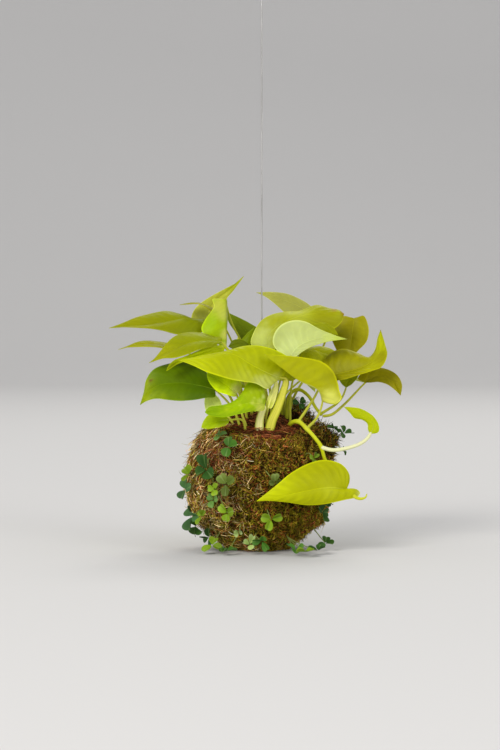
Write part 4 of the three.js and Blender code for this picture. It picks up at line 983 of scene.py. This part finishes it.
# A pale young leaf, its tint painted lighter still against the shade it sits in.
grow_leaf(
    "leaf_furled",
    root=(6, -26), via=[(7, -31, 110)],
    rib=[(8.5, -36, 118), (10.5, -38.5, 125), (13, -39.5, 133), (15.6, -39, 143.5)],
    left=[(11.5, -35.5, 118.5), (14, -36, 123.5), (15.8, -36, 130), (16.8, -37.5, 138)],
    right=[(6.8, -35, 119), (7.5, -35.5, 125), (10.5, -36.5, 132), (13.8, -37.5, 138.5)],
    tint=(238, 238, 142), under=(238, 238, 134), quilt=0.3,
    patches=[((9, -36, 121), 5, (213, 221, 87))],
)
grow_leaf(
    "leaf_front_small",
    root=(-10, -32), via=[(-13, -36, 108)],
    rib=[(-24.5, -42, 108.5), (-32, -46, 108), (-40, -49, 105.5), (-47.8, -50, 101.8)],
    left=[(-25, -44, 105.5), (-31, -48, 102.7), (-38, -50, 101.3), (-44, -51, 100.9)],
    right=[(-27, -40, 112), (-35, -42, 114), (-42, -45, 112.5), (-46.5, -48, 106)], tint=(147, 172, 0),
    under=(178, 187, 64), rim=(163, 182, 12),
)
# Its tint is painted very light, as light shining through it in the shade of the leaf above.
grow_leaf(
    "leaf_front_inner",
    root=(-5, -27), via=[(-13, -32, 112)],
    rib=[(-18, -38, 131), (-27, -41, 138), (-35, -43, 143.5), (-43, -44, 148)],
    left=[(-19, -40, 128), (-27, -43, 130), (-34, -44, 132.5), (-40, -45, 138.5), (-42.5, -45, 144)],
    right=[(-15, -37, 133), (-14, -36, 139), (-20, -36, 145), (-32, -38, 150)], tint=(217, 244, 0),
    under=(244, 244, 115),
    patches=[((-17, -37, 134), 5, (216, 222, 120)), ((-38, -43, 144), 8, (160, 190, 0), None)],
)
# Its deep green tint and darkest patches are painted shade from the leaves above it, and the lighter patches along
# its lower edge and tip painted light; the two small brown spots are its own.
grow_leaf(
    "leaf_left_low",
    root=(-12, -26), via=[(-20, -28, 116)],
    rib=[(-36, -30, 134), (-50, -36, 137.5), (-68, -41, 139.5), (-85, -44, 137), (-94, -45, 130),
        (-99.2, -46, 121)],
    left=[(-36, -33, 128), (-44, -38, 127), (-55, -43, 125), (-65, -47, 124.3), (-75, -49, 125.3),
        (-86, -49, 126.2), (-94, -48, 124)],
    right=[(-37, -27, 141), (-42, -26, 147), (-52, -28, 154), (-64, -31, 157.5), (-78, -36, 155),
        (-88, -40, 150.5), (-94, -42, 142), (-96, -44, 132)],
    tint=(94, 121, 0), under=(131, 157, 31), quilt=0.35,
    patches=[((-93, -46, 138), 8, (134, 150, 2), None), ((-95, -46, 126), 8, (140, 156, 4), None),
             ((-66, -44, 127), 6, (116, 138, 2), None), ((-82, -47, 127.5), 7, (130, 150, 4), None),
             ((-52, -34, 138), 17, (76, 106, 0), None), ((-74, -38, 145), 16, (92, 118, 0), None),
             ((-90.5, -42, 141.5), 1.3, (96, 60, 10), None), ((-89, -41.5, 142), 1.0, (104, 70, 12), None)],
)
# Its tint is painted very light, as light shining through it in the shade of the leaves round it.
grow_leaf(
    "leaf_left_inner",
    root=(-15, -20), via=[(-24, -23, 110)],
    rib=[(-32, -25, 116), (-36, -26, 121), (-39.5, -25, 127), (-42, -24, 132)],
    left=[(-37, -27, 111.5), (-43, -27, 114.5), (-45, -26, 122), (-44.5, -25, 127)],
    right=[(-30.5, -25, 121), (-33, -24, 127), (-38, -23, 131)], tint=(222, 242, 120), under=(222, 242, 120),
)
grow_leaf(
    "leaf_left_mid",
    root=(-7, -19), via=[(-13, -22, 130), (-23, -27, 162)],
    rib=[(-30, -28, 174), (-45, -34, 175), (-62, -38, 172), (-78, -42, 164), (-91.5, -46, 156.5)],
    left=[(-36, -34, 171), (-45, -40, 168.5), (-60, -46, 163.5), (-70, -48, 160.8), (-80, -48, 160)],
    right=[(-31, -24, 178), (-37, -22, 178.5), (-45, -22, 181.3), (-57, -24, 182.6), (-67, -28, 180),
        (-74, -33, 175.5), (-80.5, -38, 168.3), (-87, -43, 160.2)],
    tint=(135, 142, 0), under=(133, 145, 6), quilt=0.5,
    patches=[((-82, -42, 162), 12, (147, 150, 0), None), ((-40, -26, 176), 14, (130, 140, 0), None)],
)
# Its tint is painted lighter where its base lies in shade, and its patch darker at the tip, where the light falls.
grow_leaf(
    "leaf_left_tucked",
    root=(-3, -11), via=[(-9, -13, 135), (-19, -15, 158)],
    rib=[(-27, -18, 170), (-42, -30, 166), (-56, -40, 161), (-67, -48, 157.2), (-77, -53, 149.7)],
    left=[(-30, -21, 165), (-45, -33, 161.5), (-58, -44, 158.5), (-66, -50, 156), (-72, -53, 152.8)],
    right=[(-29, -16, 171), (-40, -26, 170.5), (-52, -36, 166), (-62, -44, 161.7), (-70, -49, 159),
        (-75, -52, 154.5)],
    tint=(200, 215, 0), under=(196, 209, 11), quilt=0.5,
    patches=[((-72, -50, 155), 11, (136, 148, 0), (140, 152, 0))],
)
grow_leaf(
    "leaf_left_thin",
    root=(-15, -11), via=[(-22, -11, 125), (-42, -9, 153)],
    rib=[(-58, -8, 165), (-75, -12, 170.5), (-90, -15, 172), (-104, -18, 171), (-117.3, -20, 167.8)],
    left=[(-64, -17, 165), (-80, -22, 168.9), (-92, -23, 169.8), (-104, -22, 170), (-111, -21, 169.4)],
    right=[(-62, 0, 168), (-77, -2, 173), (-88, -6, 175), (-95, -9, 175.3), (-102, -13, 173.8),
        (-110, -17, 170.4)],
    tint=(147, 148, 0), under=(134, 146, 0), quilt=0.5,
)
grow_leaf(
    "leaf_left_far",
    root=(-11, -4), via=[(-14, -4, 125), (-30, 0, 168)],
    rib=[(-44, 4, 190), (-62, -2, 193.5), (-78, -7, 190.8), (-95, -11, 188), (-125, -16, 185.8)],
    left=[(-45, -2, 183), (-55, -7, 181), (-66, -12, 180.3), (-80, -16, 183.5), (-100, -18, 186),
        (-115, -17, 186.6)],
    right=[(-46, 10, 193), (-56, 8, 194), (-65, 7, 197.5), (-76, 4, 199.7), (-88, 0, 198.5),
        (-100, -5, 195.5), (-112, -10, 190.5)],
    tint=(129, 135, 0), under=(131, 140, 25), quilt=0.6,
    patches=[((-105, -14, 187), 16, (138, 140, 0), None), ((-56, 4, 186), 14, (124, 134, 0), None)],
)
grow_leaf(
    "leaf_top_tall",
    root=(-9, 2), via=[(-12, 5, 125), (-30, 20, 165)],
    rib=[(-44, 24, 182), (-43, 25, 195), (-36, 25.5, 208), (-24, 25.5, 218), (-11.5, 25, 229.3)],
    left=[(-52, 24, 184), (-56, 24, 193), (-53.5, 24, 201), (-47.5, 24.5, 207), (-39, 25, 212.5),
        (-27, 25, 219), (-18.5, 25, 223.5)],
    right=[(-33, 24, 188), (-27.5, 24, 203), (-26, 24, 210.5), (-21, 24.5, 216.5), (-16.5, 25, 222.5)],
    tint=(166, 169, 50), under=(166, 170, 54), quilt=0.4,
    patches=[((-18, 25, 223), 9, (152, 160, 10)), ((-46, 24, 190), 9, (164, 168, 70), None)],
)
grow_leaf(
    "leaf_top_thin",
    root=(-3, 6), via=[(-5, 8, 126), (-18, 13, 165), (-31, 8, 192)],
    rib=[(-36, 6, 199), (-42, 8, 203.5), (-49, 10, 206.3), (-57, 10, 206.3), (-65.7, 10, 205.3)],
    left=[(-38, 2, 199), (-44, 2, 203.5), (-51, 3, 205.8), (-59, 6, 205.8)],
    right=[(-36, 10, 201), (-43, 14, 204.8), (-51, 15, 206.7), (-59, 13, 206.4)], tint=(142, 141, 0),
    under=(146, 145, 0), ridge=0.35,
)
# The pale patches down its rolled strip are painted highlights.
grow_leaf(
    "leaf_top_rolled",
    root=(-3, 0.5), via=[(-5, 3, 130), (-10, 13, 165), (-22, 12, 190)],
    rib=[(-27.5, -4, 210), (-27, -7, 196), (-26.8, -10, 181), (-26.5, -12, 167)],
    left=[(-26, 1, 209), (-25.5, 2, 196), (-26, -2, 182), (-26.3, -7, 173)],
    right=[(-33, -4, 210.3), (-38.3, -4, 209.8), (-37, -5, 204), (-39, -6, 200), (-44, -7, 193), (-47.7, -9, 185),
        (-45.5, -11, 180), (-39, -12, 176.5), (-32, -13, 171.5)],
    tint=(150, 172, 0), under=(150, 168, 20), quilt=0.2, ridge=0,
    patches=[((-42, -8, 188), 7.5, (154, 182, 0)), ((-38, -7, 191), 4, (146, 176, 0)),
             ((-32, -5, 205), 8, (174, 180, 58)), ((-28.5, -6, 196), 5, (176, 184, 70)),
             ((-27, -10, 180), 4, (186, 192, 80)), ((-26.5, -12, 170), 4, (200, 204, 110))],
)
grow_leaf(
    "leaf_back_dark",
    root=(2.5, 8.5), via=[(2, 10, 126), (-3, 15, 152)],
    rib=[(0, 22, 172), (-7, 24, 180), (-15, 25, 188), (-27, 26, 199.5)],
    left=[(-6, 20, 168), (-13, 21, 172), (-16.5, 22, 179), (-21, 24, 185), (-25, 25, 191.5)],
    right=[(4, 24, 178), (2, 26, 184), (-6, 27, 189.3), (-15, 27, 194)], tint=(102, 119, 0),
    under=(112, 130, 0), quilt=0.5, ridge=0.3,
)
grow_leaf(
    "leaf_back_low",
    root=(-2, -6), via=[(-4, -6, 130)],
    rib=[(-8, -5, 168), (-13, -6, 171.5), (-18, -7, 172), (-25, -7, 170)],
    left=[(-9, -7, 165), (-15, -8, 166.5), (-21, -8, 168)],
    right=[(-8, -4, 172), (-14, -5, 176), (-21, -6, 175.5)], tint=(95, 108, 0), under=(104, 116, 4), ridge=0,
)
grow_leaf(
    "leaf_back_edge",
    root=(8, 0), via=[(6, -1, 130)], rib=[(-13, 4, 168), (-12, 5, 174), (-8, 7, 181), (-3, 11, 186.5)],
    left=[(-17.5, 6, 170), (-14, 7, 175.5), (-9, 9, 181.5)],
    right=[(-9, 3, 168), (-6, 5, 174), (-4, 8, 182)], tint=(117, 135, 0), under=(160, 164, 17),
)
grow_leaf(
    "leaf_centre_pale",
    root=(13, -17), via=[(17, -20, 135)],
    rib=[(26, -24, 160), (34, -28, 170), (52, -33, 177), (75, -36, 176.3)],
    left=[(31, -27, 161), (38, -31, 166), (48, -34, 171), (60, -36, 174.5), (69, -36, 175.7)],
    right=[(17, -20, 166), (12.5, -18, 173), (14, -18, 182), (20, -19, 189), (30, -21, 192.3),
        (40, -24, 191), (52, -29, 184.5), (64, -33, 179.8)],
    tint=(155, 167, 0), under=(180, 191, 111), quilt=0.6, ridge=0,
    patches=[((70, -34, 177.5), 11, (170, 184, 70), (174, 188, 76)),
             ((28, -22, 168), 9, (200, 210, 136), (196, 208, 130))],
)
# The pale patch on its left part is a painted highlight; the brown spots at its tip are its own colour.
grow_leaf(
    "leaf_centre_back",
    root=(12, -7), via=[(10, -9, 135)],
    rib=[(8, -12, 165), (9, -13, 180), (25, -9, 192), (48, -2, 198), (72.3, 4, 197.5)],
    left=[(-2, -8, 166), (-6, -8, 173), (-3, -7, 183), (3, -5, 192), (12, -1, 197.3), (24, 2, 199.7),
        (36, 5, 200.5), (49, 7, 205), (60, 8, 202.3), (68, 7, 200.8)],
    right=[(14, -15, 168), (20, -15, 178), (36, -11, 186), (50, -5, 185), (62, 0, 184.5), (70, 3, 190.5)],
    tint=(158, 163, 23), under=(175, 185, 67), quilt=0.8,
    patches=[((2, -9, 174), 14, (182, 192, 92)), ((58, 2, 194), 15, (146, 148, 4)),
             ((34, 0, 198), 10, (168, 174, 46), None), ((71.5, 4, 198.5), 2.6, (140, 112, 8)),
             ((64, 7, 201), 2.2, (144, 122, 8))],
)
grow_leaf(
    "leaf_top_rear",
    root=(15.5, 2.5), via=[(17, 5, 126), (34, 18, 165)],
    rib=[(44, 24, 197), (34, 26, 204), (20, 27, 209.5), (8, 28, 213.5), (-1.6, 28, 215.5)],
    left=[(43, 20, 192), (34, 20, 193), (24, 22, 197.5), (14, 25, 206), (6, 27, 212)],
    right=[(48, 28, 200), (42, 30, 206), (34, 31, 210.5), (24, 31, 214.5), (12, 30, 216)],
    tint=(158, 159, 68), under=(165, 169, 81), quilt=0.6, ridge=0.3,
)
grow_leaf(
    "leaf_right_sliver",
    root=(19, -1), via=[(22, -3, 130), (27, -12, 158)],
    rib=[(38, -14, 176), (47, -17, 186.5), (57, -19, 187.3), (67.5, -20, 179.4)],
    left=[(38, -13.5, 182), (47, -16, 189), (58, -17.5, 189.5), (65, -19, 184)],
    right=[(41, -16, 174), (50, -18.5, 180), (60, -20, 181)], tint=(135, 141, 0), under=(144, 144, 0), ridge=0.3,
)
grow_leaf(
    "leaf_right_inner",
    root=(27, -12), via=[(28, -11, 135)], rib=[(35, -10, 159), (44, -7, 167), (54, -2, 165), (72, 4, 158)],
    left=[(34, -6, 163.5), (45, 0, 169.8), (54, 6, 170.3), (64, 8, 166.5)],
    right=[(38, -13, 156), (46, -12, 158), (56, -6, 157), (66, -1, 156)], tint=(169, 174, 0),
    under=(177, 181, 0), ridge=0.3,
)
# The light patch at its tip is painted light.
grow_leaf(
    "leaf_right_upturned",
    root=(34, -28, 107), on="vine_trailing", via=[(46, -24, 125)],
    rib=[(58, -20, 146), (76, -25, 149), (92, -28, 155), (101, -25, 164), (103, -16, 184.5)],
    left=[(53, -14, 152), (55, -10, 159), (62, -10, 166), (72, -12, 168.3), (84, -16, 164.5),
        (93, -20, 161.3), (98, -17, 167), (100.5, -15, 178)],
    right=[(62, -27, 142), (72, -33, 142.3), (84, -35, 146), (96, -34, 150), (104, -31, 153.5),
        (108.5, -25, 163), (106.5, -18, 173)],
    tint=(139, 137, 0), under=(161, 166, 49), quilt=1.5,
    patches=[((103, -18, 174), 10, (174, 180, 0), None), ((98, -30, 150), 9, (161, 162, 0), None)],
)
# Its light patch on the right half is painted light, and its dark patch on the left half painted shade.
grow_leaf(
    "leaf_right_rear",
    root=(25.5, -1), via=[(28, 0, 122), (50, 24, 160), (66, 42, 190)],
    rib=[(80.5, 36, 194), (79, 34, 180), (77, 32, 166), (74, 30, 154)],
    left=[(84, 36, 195), (88.7, 36, 196), (92.5, 35, 188), (93, 34.5, 181), (91, 34, 174), (84, 32, 166.5),
        (78, 31, 160)],
    right=[(77, 38, 195), (72, 38, 195.6), (65, 38, 189), (61.5, 36, 179), (64, 34, 171), (69, 32, 162)],
    tint=(143, 138, 0), under=(145, 140, 0), quilt=0.8, ridge=0.3,
    patches=[((89, 35, 184), 8, (152, 148, 8)), ((68, 37, 180), 8, (122, 120, 0))],
)
grow_leaf(
    "leaf_right_small",
    root=(53.5, -9, 114), on="stem_arching", via=[(60, -4, 118), (66, -1, 122), (71, 3, 128)],
    rib=[(74, 7, 135.5), (76, 9, 143), (77, 11, 151), (78, 13, 158)],
    left=[(70, 8, 139), (67, 10, 147), (70, 12, 154)], right=[(79, 8, 138.5), (85, 10, 147), (84, 12, 154)],
    tint=(136, 149, 0), under=(158, 166, 2), ridge=0.3,
)
grow_leaf(
    "leaf_right_low",
    root=(54, -12, 111.5), on="stem_arching", via=[(62, -15, 113), (72, -13, 121)],
    rib=[(90, -7, 139.8), (100, -7, 145), (112, -9, 143), (120, -12, 129)],
    left=[(84, -5, 143), (88, -4, 148.5), (98, -4, 152.5), (108, -5, 151.3), (117, -8, 146), (121, -11, 138)],
    right=[(94, -9, 139.8), (101, -10, 140.3), (109, -11, 138), (116, -13, 132.8)], tint=(137, 131, 0),
    under=(135, 129, 0), quilt=0.8,
)
grow_leaf(
    "leaf_trailing_large",
    root=(59, -41, 69.5), on="vine_trailing", via=[(66, -40, 58)],
    rib=[(74.8, -47, 50.4), (57, -56, 51.2), (37.5, -63, 47.9), (15, -68, 43), (-1.7, -69, 39.8)],
    left=[(78.5, -46, 50.6), (83.5, -46, 50), (86.3, -47, 46.8), (83, -48, 43.4), (74, -51, 41.2),
        (57, -54, 37.6), (41, -59, 36.6), (25, -64, 38.9), (8.4, -68, 40.2)],
    right=[(77, -45, 56), (76.5, -44, 63), (70, -44, 71), (57, -48, 74.8), (44, -54, 72.3),
        (28, -61, 64), (15, -66, 53)],
    tint=(169, 174, 0), under=(185, 194, 62), sweeps=(0.16, 0.16), quilt=1.5,
    patches=[((55, -50, 66), 18, (161, 164, 0), None), ((14, -66, 46), 16, (182, 190, 0), None),
             ((60, -54, 50), 7, (174, 179, 23), None), ((86, -47, 46), 3, (182, 187, 85))],
    tail=[(79, -49, 45.5), (84, -48.5, 42.4), (88, -48, 42.2), (90.6, -47.5, 43.4), (91.8, -47, 46.4)],
)
grow_leaf(
    "leaf_trailing_young",
    root=(52.5, -43, 85.5), on="vine_trailing", via=[(64, -46, 83), (84, -44, 87.5), (91, -43, 92)],
    petiole=(4, 4), narrowing=0.2, blanched=0.9, stalk_colour=(222, 222, 176),
    rib=[(94.5, -43, 96.5), (97, -43, 104), (90, -44, 112), (80, -45, 116), (72, -45, 119.5)],
    left=[(92.5, -42, 100), (92, -42, 105), (88, -42, 108.3), (81, -43, 110), (77, -44, 114.5)],
    right=[(101, -42, 98), (101.8, -41, 103), (97, -42, 111.5), (86, -43, 118), (77, -44, 119.3)],
    tint=(168, 180, 0), under=(175, 181, 50), quilt=0.4,
)

# The leaves on the side that the front view hides fan out in the same way.
REAR_LEAVES = [
    dict(root=(13.5, 7.5), turn=66, out=40, up=150, length=78, half=25, drop=18),
    dict(root=(7.5, 9), turn=84, out=34, up=171, length=84, half=22, drop=22),
    dict(root=(-7.5, 6.5), turn=118, out=40, up=136, length=74, half=23, drop=0),
    dict(root=(-14, 1), turn=148, out=42, up=147, length=68, half=21, drop=12),
    dict(root=(20.5, 4), turn=38, out=50, up=145, length=64, half=20, drop=5),
]
for number, leaf in enumerate(REAR_LEAVES):
    turned = math.radians(leaf["turn"])
    out, up, length, drop = (leaf[key] for key in ("out", "up", "length", "drop"))

    def at(distance, height, aside=0.0):
        return (distance * math.cos(turned) - aside * math.sin(turned),
                distance * math.sin(turned) + aside * math.cos(turned), height)

    def edge_of(half):
        return [at(out - length * 0.1, up - 1, half * 0.55), at(out + length * 0.05, up + 3, half * 0.95),
                at(out + length * 0.25, up + 7, half), at(out + length * 0.6, up + 2, half * 0.66),
                at(out + length * 0.85, up - drop * 0.5, half * 0.25)]

    x, y = leaf["root"]
    grow_leaf(f"leaf_rear_{number + 1}", root=(x, y), via=[(x * 1.1, y * 1.1, 124), at(out * 0.6, up * 0.9)],
              rib=[at(out, up), at(out + length * 0.3, up + 7), at(out + length * 0.65, up + 1),
                   at(out + length, up - drop)],
              left=edge_of(leaf["half"]), right=edge_of(-leaf["half"]),
              tint=[(172, 182, 10), (186, 192, 8), (150, 166, 8), (166, 176, 6), (140, 156, 8)][number],
              under=(184, 196, 76))

# ------------------------------------------------------------------ the clover in the moss
# Self-sown clover: thin wiry stems that come out of the moss, each with a leaf of three notched, softly folded
# leaflets. Young ones are yellow-green and old ones a dull blue-green.
clover_face, nodes, links, shader = new_finish(
    "clover_leaf", 0.6, Specular_IOR_Level=0.2,
    Subsurface_Weight=0.08, Subsurface_Radius=(0.7, 1.0, 0.2), Subsurface_Scale=0.0006)
where = node(nodes, "UVMap")
split = node(nodes, "SeparateXYZ")
centred = node(nodes, "Math", "MULTIPLY_ADD", _1=2.0, _2=-1.0)
aside = node(nodes, "Math", "ABSOLUTE")
fold_line = node(nodes, "MapRange", _1=0.0, _2=0.1, _3=0.3, _4=0.0)
ground = spread_tint(nodes, links, "tint", 0.2, 160.0, 3.0)
lined = node(nodes, "Mix")
lined.data_type = "RGBA"
lined.inputs[7].default_value = linear(150, 176, 104)
ripples = node(nodes, "TexNoise", Scale=420.0, Detail=2.0)
place = node(nodes, "TexCoord")
relief = node(nodes, "Bump", Strength=0.3, Distance=0.0003)
chain(links, (where, split), (split, centred), (centred, aside), (aside, fold_line), (fold_line, lined),
      (ground, 0, lined, 6), (lined, 2, shader, "Base Color"), (place, "Object", ripples, "Vector"),
      (ripples, "Fac", relief, "Height"), (relief, 0, shader, "Normal"))

# One leaflet is laid out flat, a fan from its foot to its rounded, notched rim, and copied for all the others.
LEAFLET_RIM = [(0.08, -0.02), (0.24, -0.28), (0.48, -0.45), (0.74, -0.46), (0.92, -0.31), (0.97, -0.13), (0.92, 0),
               (0.97, 0.13), (0.92, 0.31), (0.74, 0.46), (0.48, 0.45), (0.24, 0.28), (0.08, 0.02)]
LEAFLET_FOOT = 0.1
LEAFLET_DROOP = 0.18
LEAFLET_THICK = 0.3 * MM
CLOVER_STALK, CLOVER_STALK_ROWS = (128, 140, 70), 18
bpy.ops.object.select_all(action="DESELECT")
bpy.ops.mesh.primitive_grid_add(x_subdivisions=18, y_subdivisions=6, size=1)
leaflet = bpy.context.object
leaflet.name = "leaflet"
flat = points_of(leaflet)
rim_line = through([(a, b, 0) for a, b in LEAFLET_RIM])
rim_at = rim_line(flat[:, 0] + 0.5)
foot = np.array([LEAFLET_FOOT, 0, 0])
outline = foot + (rim_at - foot) * (flat[:, 1] + 0.5)[:, None]
outline[:, 2] = 0.3 * np.abs(outline[:, 1]) ** 1.2 - LEAFLET_DROOP * outline[:, 0] ** 2
move_points(leaflet, outline)
weld(1e-4)
if leaflet.data.polygons[40].normal.z < 0:
    leaflet.data.flip_normals()
LEAFLET_SHAPE = points_of(leaflet)
LEAFLET_RIM_SHARE = np.linalg.norm(LEAFLET_SHAPE[:, :2] - (LEAFLET_FOOT, 0), axis=1)


CLOVER_AGES = {  # the blade and its rim
    "teal": ((60, 98, 50), (94, 128, 80)), "deep": ((40, 76, 20), (62, 98, 34)),
    "dark": ((40, 76, 12), (64, 100, 26)), "mid": ((62, 106, 26), (100, 138, 58)),
    "soft": ((92, 130, 54), (136, 168, 98)), "lime": ((114, 144, 18), (154, 176, 56)),
    "olive": ((84, 100, 30), (142, 158, 84)), "pale": ((150, 172, 92), (198, 212, 154)),
}


def grow_sprig(solid, root, leaves):
    """A sprig of clover. Each leaf is a place, a leaflet length, a turn, the way it faces or None, and its age."""
    draw = np.random.default_rng(sum(ord(letter) for letter in solid))
    way = unit(np.array(root) * MM - BALL_MIDDLE)
    reach = moss_reach(way[None])[0]
    above = lambda height: BALL_MIDDLE + way * (reach + height * MM)
    parts = []
    for x, y, z, length, turn, facing, age in leaves:
        centre = np.array([x, y, z]) * MM
        up = unit(unit(centre - BALL_MIDDLE) + (0, -0.2, 0.35)) if facing is None else unit(np.array(facing))
        ahead = np.cross((0.0, 0.0, 1.0), up)
        ahead = np.array([1.0, 0, 0]) if np.linalg.norm(ahead) < 0.1 else ahead
        ahead = unit(ahead - up * ahead.dot(up))
        beside_it = np.cross(up, ahead)
        bent = above(1.8) + (centre - above(1.8)) * 0.5 + way * 0.8 * MM - up * 0.6 * MM
        share = np.linspace(0, 1, CLOVER_STALK_ROWS + 1)
        line = through([above(-4.5), above(1.4), bent, centre - up * 0.3 * MM])(share)
        thick = np.stack([np.linspace(0.5, 0.36, CLOVER_STALK_ROWS + 1)] * 2, axis=1) * MM
        stalk = wrap_tube(solid + "_stalk", CLOVER_STALK_ROWS, 7, line, thick)
        paint(stalk, "tint", tone(CLOVER_STALK))
        stalk.data.materials.append(fleshy)
        parts.append(stalk)
        blade, edge = (tone(colour) for colour in CLOVER_AGES[age])
        for k in range(3):
            bend = math.radians(turn + 120 * k + draw.uniform(-24, 24))
            along = LEAFLET_SHAPE[:, 0] * draw.uniform(0.8, 1.12)
            aside = LEAFLET_SHAPE[:, 1] * draw.uniform(0.84, 1.1)
            tilt, fold, twist = draw.uniform(-0.25, 0.85), draw.uniform(0.0, 0.95), draw.uniform(-0.5, 0.5)
            aside = aside * (1 - 0.22 * fold)
            raised = LEAFLET_SHAPE[:, 2] + tilt * along + fold * np.abs(aside) + twist * aside * along
            sized = np.stack([along, aside, raised], axis=1) * length * MM
            turned = np.stack([sized[:, 0] * math.cos(bend) - sized[:, 1] * math.sin(bend),
                               sized[:, 0] * math.sin(bend) + sized[:, 1] * math.cos(bend)], axis=1)
            copy = leaflet.copy()
            copy.data = leaflet.data.copy()
            bpy.context.scene.collection.objects.link(copy)
            places = centre + ahead * turned[:, :1] + beside_it * turned[:, 1:] + up * sized[:, 2:]
            places[:, 2] = np.maximum(places[:, 2], 0.5 * MM)
            move_points(copy, places)
            mixed = blade + (edge - blade) * (LEAFLET_RIM_SHARE ** 3)[:, None] * draw.uniform(0.2, 1.0)
            paint(copy, "tint", mixed * draw.uniform(0.75, 1.25))
            copy.data.materials.append(clover_face)
            parts.append(copy)
    for part in parts:
        if part.name.startswith("leaflet"):
            thicken(part, LEAFLET_THICK)
    sprig = parts[-1]
    join(parts, sprig)
    sprig.name = sprig.data.name = solid.replace("clover_", "") + "_clover"
    bpy.ops.object.shade_smooth_by_angle(angle=math.radians(60))
    rest_at_origin(sprig, "clover", solid)


LAID = (0, -0.25, 1)  # leaves that lie on the surface under the ball
grow_sprig("clover_top_left", (-22, -40, 95), [
    (-24.5, -53, 89, 9.5, 0, None, "mid"), (-32, -40, 97.5, 6.5, 30, None, "soft"),
])
grow_sprig("clover_left_upper", (-36, -36, 76), [
    (-42.5, -50, 70, 12.5, 338, None, "deep"), (-35.5, -54, 54.5, 6.1, 60, None, "lime"),
])
grow_sprig("clover_left_face", (-30, -47, 52), [
    (-26, -62, 59, 9.4, 270, None, "olive"), (-36.5, -53, 45.5, 6.6, 30, None, "soft"),
    (-25.5, -56, 35, 8.2, 250, None, "lime"),
])
grow_sprig("clover_left_rim", (-55, -12, 62), [
    (-57.5, -27, 64.5, 7, 30, (-0.6, -0.7, 0.35), "lime"),
    (-60.5, -26, 52, 9, 0, (-0.6, -0.75, 0.2), "teal"),
])
grow_sprig("clover_left_low", (-44, -25, 37), [
    (-54.5, -32, 30.5, 11.5, 20, None, "teal"), (-52, -24, 21, 10.5, 95, None, "dark"),
    (-46.5, -43, 31.5, 6.5, 40, None, "lime"),
])
grow_sprig("clover_left_foot", (-31, -27, 17), [
    (-41, -31, 12.5, 8.5, 80, None, "deep"), (-38, -42, 7.5, 9.5, 100, (-0.2, -0.6, 0.75), "lime"),
])
grow_sprig("clover_front_foot", (-18, -38, 14), [(-25, -54, 4.2, 8, 20, LAID, "mid")])
grow_sprig("clover_front_low", (-2, -44, 17), [
    (-7, -49, 8.5, 6.5, 180, (0, -0.8, 0.5), "pale"), (3, -50, 11.5, 7.5, 60, None, "mid"),
])
grow_sprig("clover_front", (8, -57, 36), [(10.5, -61, 30.5, 8.5, 25, None, "lime")])
grow_sprig("clover_front_pale", (-14, -50, 26), [(-16, -55, 19, 4, 0, None, "pale")])
grow_sprig("clover_behind_leaf", (6, -57, 69), [(13.6, -62, 60.8, 6.8, 80, None, "olive")])
grow_sprig("clover_right_vine", (40, -36, 82), [(46, -40, 78.5, 5.5, 30, None, "lime")])
grow_sprig("clover_right", (50, -22, 38), [
    (53, -33, 34, 8.5, 0, None, "deep"), (59, -18, 42, 6, 85, None, "deep"),
])
grow_sprig("clover_right_foot", (44, -12, 20), [(56, -19.5, 6.8, 7, 86, (0.1, -0.7, 0.6), "dark")])
grow_sprig("clover_right_front", (24, -34, 14), [
    (31, -52, 4.2, 8, 10, LAID, "mid"), (39, -65, 4.4, 8.5, 50, LAID, "lime"),
    (49, -52, 4.2, 7.5, 90, LAID, "deep"),
])
grow_sprig("clover_crown_right", (32, 12, 108), [(34.8, -8.5, 123, 6.2, 40, (0.1, -0.9, 0.35), "deep")])
grow_sprig("clover_right_tuft", (56, -5, 88), [
    (64, -6, 101.5, 6.8, 20, None, "deep"), (72, -4, 97.5, 7.6, 80, None, "dark"),
    (72, -7, 82.5, 4.5, 50, None, "dark"),
])
grow_sprig("clover_back_left", (-30, 46, 78), [
    (-34, 56, 84, 8.5, 10, None, "mid"), (-22, 62, 72, 8, 60, None, "soft"),
])
grow_sprig("clover_back_right", (30, 48, 44), [
    (36, 56, 50, 8, 30, None, "mid"), (24, 61, 37, 8.5, 90, None, "lime"),
])
bpy.data.objects.remove(leaflet)
